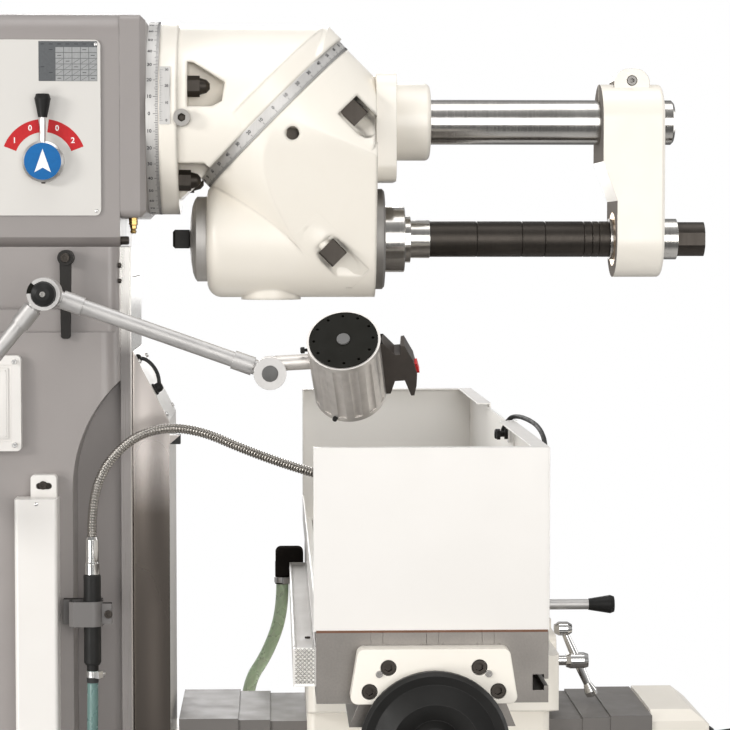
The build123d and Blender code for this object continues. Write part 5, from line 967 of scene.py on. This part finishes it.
def make_ram_details():
    """Grease nipple, gib screws, index plug socket, front end of the ram's tongue, stop and lever screws."""
    foot = Vector((-96 * MM, 110 * MM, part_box("ram_flange")[0].z))
    outline = [(5.8, -1), (5.8, 9), (4.6, 10), (4.6, 14), (3.2, 15), (4.2, 18), (3, 20.5)]
    nipple = Build().lathe(outline, foot, -Z, 6)
    nipple.piece("grease_nipple", BRASS, "ram", "bronze")
    screws = Build()
    for z, radius in GIB_SCREWS:
        screws.screw(touch("column", mm(-138, 60, z), Y), -Y, radius, 4)
    screws.piece("gib_screws", OXIDE, "frame", "black_steel")
    plug = Build().screw(left_face("swivel_bracket", INDEX_PLUG), -X, 5.4, 1.2)
    plug.piece("index_plug_socket", OXIDE, "swivel", "black_steel")
    outline = [(-94.4, 1350.8), (94.4, 1350.8), (74.6, 1389.4), (-74.6, 1389.4)]
    tongue = Build().prism(outline, flat_on(mm(0, 134, 0), X, Z), 0, 21.8)
    tongue.piece("ram_tongue_end", WAY_STEEL, "ram", "steel")
    stop = Build().screw(touch("ram", mm(-122, 60, 1398), Y), -Y, 5.5, 11)
    stop.piece("ram_stop_screw", OXIDE, "ram", "black_steel")
    hub = Build().screw(left_face("ram_clamp_lever", joint_at("ram_clamp_turn")), -X, 6, 2.5)
    hub.piece("clamp_lever_screw", OXIDE, "ram_clamp", "black_steel")


TERMINAL_Y, TERMINAL_Z = (257, 391), (1138, 1244)
RIM_AT = mm(0, 324, 1191)
RIM_HALF_W, RIM_HALF_H, RIM_BAR, RIM_T = 56, 42, 0.8, 0.5
BASE_TOP = 110


def make_terminal_plate():
    """Screws and raised rim of the terminal plate."""
    screws, rim = Build(), Build()
    for y in TERMINAL_Y:
        for z in TERMINAL_Z:
            screws.screw(left_face("column_covers", mm(0, y, z)), -X, 3.4)
    screws.piece("terminal_screws", SATIN, "frame", "steel")
    on_plate = flat_on(left_face("column_covers", RIM_AT), -Y, Z)
    for y in (-RIM_HALF_H, RIM_HALF_H):
        rim.slab((-RIM_HALF_W, RIM_HALF_W), (y - RIM_BAR, y + RIM_BAR), on_plate, 0, RIM_T)
    for x in (-RIM_HALF_W, RIM_HALF_W):
        rim.slab((x - RIM_BAR, x + RIM_BAR), (-RIM_HALF_H, RIM_HALF_H), on_plate, 0, RIM_T)
    rim.piece("terminal_rim", SHEET_WHITE, "frame", "panel_paint")


def make_column_details():
    """Bolts of the two brackets, a rivet at the duct's top and a port for the supply hose."""
    plate = left_face("column_covers", DUCT_BOLT + mm(0, 0, 11)).x
    bolts = Build().screw(Vector((plate, DUCT_BOLT.y, DUCT_BOLT.z)), -X, 5.4, 2.6)
    bolts.screw(left_face("coolant_tap", mm(0, 138, 924)), -X, 5.2, 3)
    bolts.piece("bracket_bolts", OXIDE, "frame", "black_steel")
    top = left_face("column_covers", mm(0, 228, 1065))
    rivet = Build().lathe([(2.6, 0), (2.2, 0.9), (1.2, 1.3)], top, -X, 20)
    rivet.piece("duct_rivet", SATIN, "frame", "steel")
    foot = mm(*SUPPLY_ROUTE[0][:2], BASE_TOP)
    port = Build().lathe([(15, 0), (15, 3), (11, 5), (11, 13), (8.6, 16)], foot, Z, 28)
    port.piece("supply_port", BLACK, "frame", "black_plastic")


CLIP_OFF = 3.2  # from the hose to the middle of the clip's screw


def hose_clip(name, at, along, radius, toward, body):
    """Worm clip: band, screw housing and screw."""
    inner, outer = radius - 0.5, radius + 0.9
    clip = Build().lathe([(inner, -4), (outer, -4), (outer, 4), (inner, 4)], at, along, 36)
    out = (toward - along * toward.dot(along)).normalized()
    across = along.cross(out)
    middle = at + out * ((radius + CLIP_OFF) * MM)
    clip.slab((-5, 5), (-4.4, 4.4), flat_on(middle, across, along), -2.6, 2.6)
    clip.lathe([(2.6, 0), (2.6, 10), (3.6, 10), (3.6, 13), (1.6, 13), (1.6, 11.5)],
               middle - across * 4 * MM, across, 20)
    clip.piece(name, SATIN, body, "steel")


def make_hose_clips():
    """Tail of the tap with its clip and sleeve, and the clip of the drain hose."""
    top, radius = mm(*SUPPLY_ROUTE[-1]), SUPPLY_D / 2
    stem = Build().lathe([(radius + 0.5, -7.5), (radius + 0.5, 0)], top, Z, 28)
    stem.piece("tap_tail", BLACK, "frame", "black_plastic")
    hose_clip("supply_clip", top - mm(0, 0, 12), Z, radius, -Y - X * 0.6, "frame")
    sleeve = Build().lathe([(radius + 0.35, -23), (radius + 0.5, -22), (radius + 0.5, -8)], top, Z, 28)
    sleeve.piece("supply_sleeve", RUBBER, "frame", "black_plastic")
    hose_clip("drain_clip", mm(*DRAIN_ROUTE[0]) + mm(0, 0, 6), Z, 10.8, -X - Y * 0.4, "table")


HOOD_FOOT, HOOD_RIDGE = mm(0, 59, 1162), mm(0, 111, 1254)


def make_hood_details():
    """Gland and grommet of the short lead on the hood's roof, and roof screws."""
    out = X.cross(HOOD_RIDGE - HOOD_FOOT).normalized()

    def roof(spot):
        """The roof under a spot."""
        return touch("way_hood", spot + out * 60 * MM, -out)

    start, end = mm(*HOOD_LEAD_ROUTE[0]), mm(*HOOD_LEAD_ROUTE[-1])
    gland = Build().lathe([(8, 0), (8, 2.5), (6.4, 3), (6.4, 8), (4.6, 11), (2.6, 12)],
                          roof(start), start - roof(start), 20)
    gland.lathe([(6, 0), (6, 2), (4, 4), (2.6, 5)], roof(end), out, 20)
    gland.piece("hood_gland", BLACK, "knee", "black_plastic")
    screws = Build()
    for x in (-90, 90):
        for share in (0.12, 0.85):
            screws.screw(roof(HOOD_FOOT.lerp(HOOD_RIDGE, share) + mm(x, 0, 0)), out, 3.2)
    screws.piece("hood_screws", SATIN, "knee", "steel")


CLAMP_AT = mm(-134, -376, 1147)
SEAL_Y, SEAL_HALF = -251, 131
PIN_Y, PIN_Z = (-190, -313), 913


def make_guard_details():
    """Door clamp with its two wings, its hook over the sheet and a seal under the end panels."""
    clamp = Build().lathe([(7, 0), (7, 4), (4, 4), (4, 10), (6.5, 10), (6.5, 16), (5, 17)], CLAMP_AT, Y, 24)
    for side in (-1, 1):
        wing = [(side * 5, -3), (side * 13, -6.5), (side * 14, 5), (side * 5, 3.5)][::side]
        clamp.prism(wing, flat_on(CLAMP_AT, -X, Z), 10.5, 15)
    clamp.piece("guard_clamp", BLACK, "table", "black_plastic")
    outline = [(-388, 1150), (-386, 1150), (-386, 1163), (-378, 1163), (-378, 1136), (-376, 1136), (-376, 1165),
               (-388, 1165)]
    hook = Build().prism(outline, flat_on(X * CLAMP_AT.x, Y, Z), -7, 7)
    hook.piece("guard_hook", SATIN, "table", "steel")
    low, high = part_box("splash_guard")
    seal = Build()
    for side, edge in ((-1, low.x), (1, high.x)):
        strip = flat_on(Vector((edge, SEAL_Y * MM, low.z)), Y * side, Z)
        seal.slab((-SEAL_HALF, SEAL_HALF), (-1.4, 1.2), strip, -0.4, 0.7)
    seal.piece("guard_seal", BROWN_SEAL, "table", "black_plastic")


def make_bracket_pins():
    """Dowels on the table's end brackets."""
    low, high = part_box("end_brackets")
    pins = Build()
    for side, edge in ((-1, low.x), (1, high.x)):
        for y in PIN_Y:
            start = Vector((edge + side * 50 * MM, y * MM, PIN_Z * MM))
            pins.screw(touch("end_brackets", start, X * -side), X * side, 4, 2)
    pins.piece("bracket_pins", CAP_STEEL, "table", "steel")


TROUGH_Y = -107
COVER_L, COVER_HALF, COVER_T, COVER_LIP = 724, 10.6, 1.2, 2.2
CLOTH_HALF, CLOTH_H, WIRE_PITCH, WIRE_R = 11.2, 40, 4.8, 0.38


def make_trough_cover():
    """Folded cover sheet in the trough, with its screw."""
    deck = touch("coolant_trough", mm(-200, -94.8, 1200), -Z).z - 3 * MM
    start = Vector((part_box("coolant_trough")[0].x + 5 * MM, TROUGH_Y * MM, deck))
    inner = COVER_HALF - COVER_T
    outline = [(-COVER_HALF, -COVER_T), (COVER_HALF, -COVER_T), (COVER_HALF, COVER_LIP), (inner, COVER_LIP),
               (inner, 0), (-inner, 0), (-inner, COVER_LIP), (-COVER_HALF, COVER_LIP)]
    cover = Build().prism(outline, flat_on(start, Y, Z), 0, COVER_L)
    cover.piece("trough_cover", COVER_SHEET, "table", "panel_paint")
    screw = Build().screw(start + mm(86, -4.5, 0), Z, 3.4, 2)
    screw.piece("trough_cover_screw", OXIDE, "table", "steel")


def make_strainer():
    """Pale filter cloth behind the trough's end screen, in the lighter white that is painted light against the
    shade there, and crossed wires before it.
    """
    low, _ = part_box("coolant_trough")
    on_screen = flat_on(Vector((low.x, TROUGH_Y * MM, low.z + 3.5 * MM)), -Y, Z)
    cloth = Build().slab((-CLOTH_HALF, CLOTH_HALF), (0, CLOTH_H), on_screen, -2.9, -2.2, 4)
    cloth.piece("strainer_cloth", SHEET_PAINTED_LIGHT, "table", "panel_paint")
    wires = Build()
    for lean in (-1, 1):
        for number in range(-6, 16):
            # a wire rises one unit for each unit across; it is cut off at the cloth's edges
            rise = number * WIRE_PITCH + CLOTH_HALF
            ends = sorted((max(-CLOTH_HALF, -rise), min(CLOTH_HALF, CLOTH_H - rise)))
            if rise + ends[0] < 0 or rise + ends[1] > CLOTH_H + WIRE_PITCH:
                continue
            wires.tube([on_screen(lean * x, rise + x, WIRE_R * 0.6) for x in ends], [WIRE_R] * 2, 6)
    wires.piece("strainer_wires", CAP_STEEL, "table", "steel")


# Each square bolt: across and along the tilt axis to its head, depth of its scoop, rise over its shank
SQUARE_BOLTS = ((72, 66, 36, 0.0), (-77, 176, 6.5, 6.4))
BOLT_SEAT = -13
POCKET_HALF, POCKET_END = 18.6, 51
SCOOP_HALF, SCOOP_FRONT, SCOOP_BACK = 17.8, 40, 21
MOUND_HALF, MOUND_FRONT, MOUND_BACK, MOUND_EDGE = 11, 18, 36, 24
HEAD_FACE = -206  # the seats end here
RAY_FROM, RAY_DEEPEST = 300, 40  # from the middle plane; a ray that goes deeper has missed the head's skin
SEAT_GRID, SEAT_T = 2, 1.5
SEAT_ROWS, SEAT_COLUMNS = range(-28, 28), range(-14, 15)
SMOOTH_ROUNDS = 240


def in_pocket(along, across):
    """Whether a place lies in the cutter's pocket or over the bolt's shank."""
    if along > BOLT_SEAT - 1.5:
        return abs(across) < POCKET_HALF and along < POCKET_END
    return abs(across) < MOUND_EDGE and along > BOLT_SEAT - MOUND_BACK - 2


def scoop_depth(along, across, depth):
    """Depth of a soft scoop that is deepest beside the bolt's head."""
    reach = SCOOP_FRONT if along > 0 else SCOOP_BACK
    return depth * max(0.0, 1 - (along / reach) ** 4 - (across / SCOOP_HALF) ** 4) ** 1.2


def mound_height(along, across, height):
    """Height of the soft rise over a bolt's shank."""
    off = along - BOLT_SEAT
    near = max(0.0, 1 - abs(off) / (MOUND_FRONT if off > 0 else MOUND_BACK))
    return height * near * near * (3 - 2 * near) * math.exp(-(across / MOUND_HALF) ** 2)


def level_skin(skin, gaps):
    """Fills the gaps of a grid of heights smoothly from what lies round them."""
    mean = sum(skin.values()) / len(skin)
    level = dict(skin)
    level.update({spot: mean for spot in gaps})
    for _ in range(SMOOTH_ROUNDS):
        for i, j in gaps:
            near = [level[spot] for spot in ((i - 1, j), (i + 1, j), (i, j - 1), (i, j + 1)) if spot in level]
            level[i, j] = sum(near) / len(near)
    return level


def seat_heights(head, ahead, over, side, depth, rise):
    """Distances from the middle plane to the smooth seat round one bolt, on a grid."""
    skin, gaps = {}, []
    for i in SEAT_ROWS:
        for j in SEAT_COLUMNS:
            along, across = i * SEAT_GRID, j * SEAT_GRID
            start = head + (ahead * along + over * across + X * side * RAY_FROM) * MM
            if start.y < HEAD_FACE * MM:
                continue
            if in_pocket(along, across):
                gaps.append((i, j))
                continue
            found, spot, _, _ = NODES["head_casting"].ray_cast(start, X * -side)
            if found and spot.x * side > RAY_DEEPEST * MM:
                skin[i, j] = spot.x * side / MM
    level = level_skin(skin, gaps)
    for i, j in gaps:
        along, across = i * SEAT_GRID, j * SEAT_GRID
        level[i, j] += mound_height(along, across, rise) - scoop_depth(along, across, depth)
    inner = set(gaps)
    for i, j in skin:
        beside = any((i + a, j + b) in inner for a in (-1, 0, 1) for b in (-1, 0, 1))
        level[i, j] += 0.06 if beside else -0.25
    return level


def make_bolt_seats():
    """Soft cast scoops round the head's square bolts."""
    tilt = joint_at("head_tilt")
    ahead = -Vector(JOINTS["head_tilt"]["axis"])
    over = ahead.cross(X)
    seats = Build()
    for side in (-1, 1):
        for across, along, depth, rise in SQUARE_BOLTS:
            head = tilt + (ahead * along + over * across) * MM
            level = seat_heights(head, ahead, over, side, depth, rise)
            number = {spot: count for count, spot in enumerate(level)}
            points = [head + (ahead * i + over * j) * (SEAT_GRID * MM) + X * (side * (h - under) * MM)
                      for under in (0, SEAT_T) for (i, j), h in level.items()]
            cells = []
            for i, j in level:
                ring = [(i, j), (i + 1, j), (i + 1, j + 1), (i, j + 1)]
                if all(spot in number for spot in ring):
                    cells.append([number[spot] for spot in ring][::-side])
            seats.add(points, thick_faces(cells, len(level)))
    seats.piece("bolt_seats", CASTING, "head", "cream_paint")


SLOT_NECK, SLOT_HEAD = (6.7, 13.6), (12.2, 24.6)  # half width and depth, with play
SLOT_PITCH = 63


def make_slot_plugs():
    """Plugs that close the ends of the table's T slots."""
    low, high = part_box("table")
    (neck, shoulder), (head, floor) = SLOT_NECK, SLOT_HEAD
    outline = [(-neck, 0), (neck, 0), (neck, -shoulder), (head, -shoulder), (head, -floor), (-head, -floor),
               (-head, -shoulder), (-neck, -shoulder)]
    plugs = Build()
    for number in (-1, 0, 1):
        y = (low.y + high.y) / 2 + number * SLOT_PITCH * MM
        for x, start, end in ((low.x, 0.3, 5), (high.x, -5, -0.3)):
            plugs.prism(outline, flat_on(Vector((x, y, high.z - 0.4 * MM)), Y, Z), start, end)
    plugs.piece("slot_plugs", GROUND, "table", "steel")


def make_support_details():
    """Ball oiler on the arbor support."""
    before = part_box("arbor_support")[0].y - 50 * MM
    at = touch("arbor_support", Vector((0, before, 1478 * MM)), Y)
    oiler = Build().lathe([(5, 0), (5, 1.6), (4, 2.4), (2.4, 2.4), (1.4, 3.2)], at, -Y, 24)
    oiler.piece("support_oiler", OXIDE, "support", "black_steel")


def make_lamp_details():
    """Cap on the wrist pin, elbow screw and lug, thumb screw at the neck, and studs at the lamp's front rim."""
    wrist, elbow = joint_at("lamp_wrist_turn"), joint_at("lamp_elbow_turn")
    face = left_face("lamp_housing", wrist + mm(0, 14, 0)).x
    cap = Build().lathe([(10, 0), (10, 0.8), (9, 1.3)], Vector((face, wrist.y, wrist.z)), -X, 40)
    cap.piece("lamp_wrist_cap", SMOKE, "lamp_upper", "black_plastic")
    pin = Build().screw(left_face("lamp_lower_arm", elbow), -X, 3.4, 1.4)
    pin.piece("lamp_elbow_screw", CAP_STEEL, "lamp_lower", "steel")
    rim = left_face("lamp_lower_arm", elbow - mm(0, 15.6, 0)).x
    on_rim = polar_on(Vector((rim, elbow.y, elbow.z)), -Y, Z)
    lug = Build().slab((math.radians(-88), math.radians(-46)), (12.6, 20.4), on_rim, -6, 0.6, 8)
    lug.piece("lamp_elbow_lug", LAMP_BLACK, "lamp_lower", "black_plastic")
    neck = LAMP_BACK + (LAMP_AIM * 14 - LAMP_SIDE * LAMP_R * 0.995) * MM
    screws = Build().lathe([(2, -2), (2, 4), (4, 4), (4, 8), (3.2, 9)], neck, -LAMP_SIDE, 20)
    for lean in (-1, 1):
        out = LAMP_UP * lean
        foot = LAMP_BACK + (LAMP_AIM * (LAMP_L - 5) - out * LAMP_R * 0.9 - LAMP_SIDE * LAMP_R * 0.42) * MM
        screws.lathe([(3, -2), (3, 4), (2.4, 5)], foot, -out - LAMP_SIDE * 0.46, 20)
    screws.piece("lamp_screws", BLACK, "lamp_head", "black_plastic")


make_camera()
make_floor()
make_light()
make_gooseneck()
make_soft_hoses()
make_leads()
for dressing in (dress_plain, dress_frame, dress_head, dress_knee, dress_table, dress_lamp):
    dressing()
for detail in (make_chart, make_dial, make_panel_rivets, make_selector_face, make_swivel_scale, make_vernier,
               make_tilt_scale, make_ram_details, make_terminal_plate, make_column_details, make_hose_clips,
               make_hood_details, make_guard_details, make_bracket_pins, make_bolt_seats, make_slot_plugs,
               make_trough_cover, make_strainer, make_support_details, make_lamp_details):
    detail()
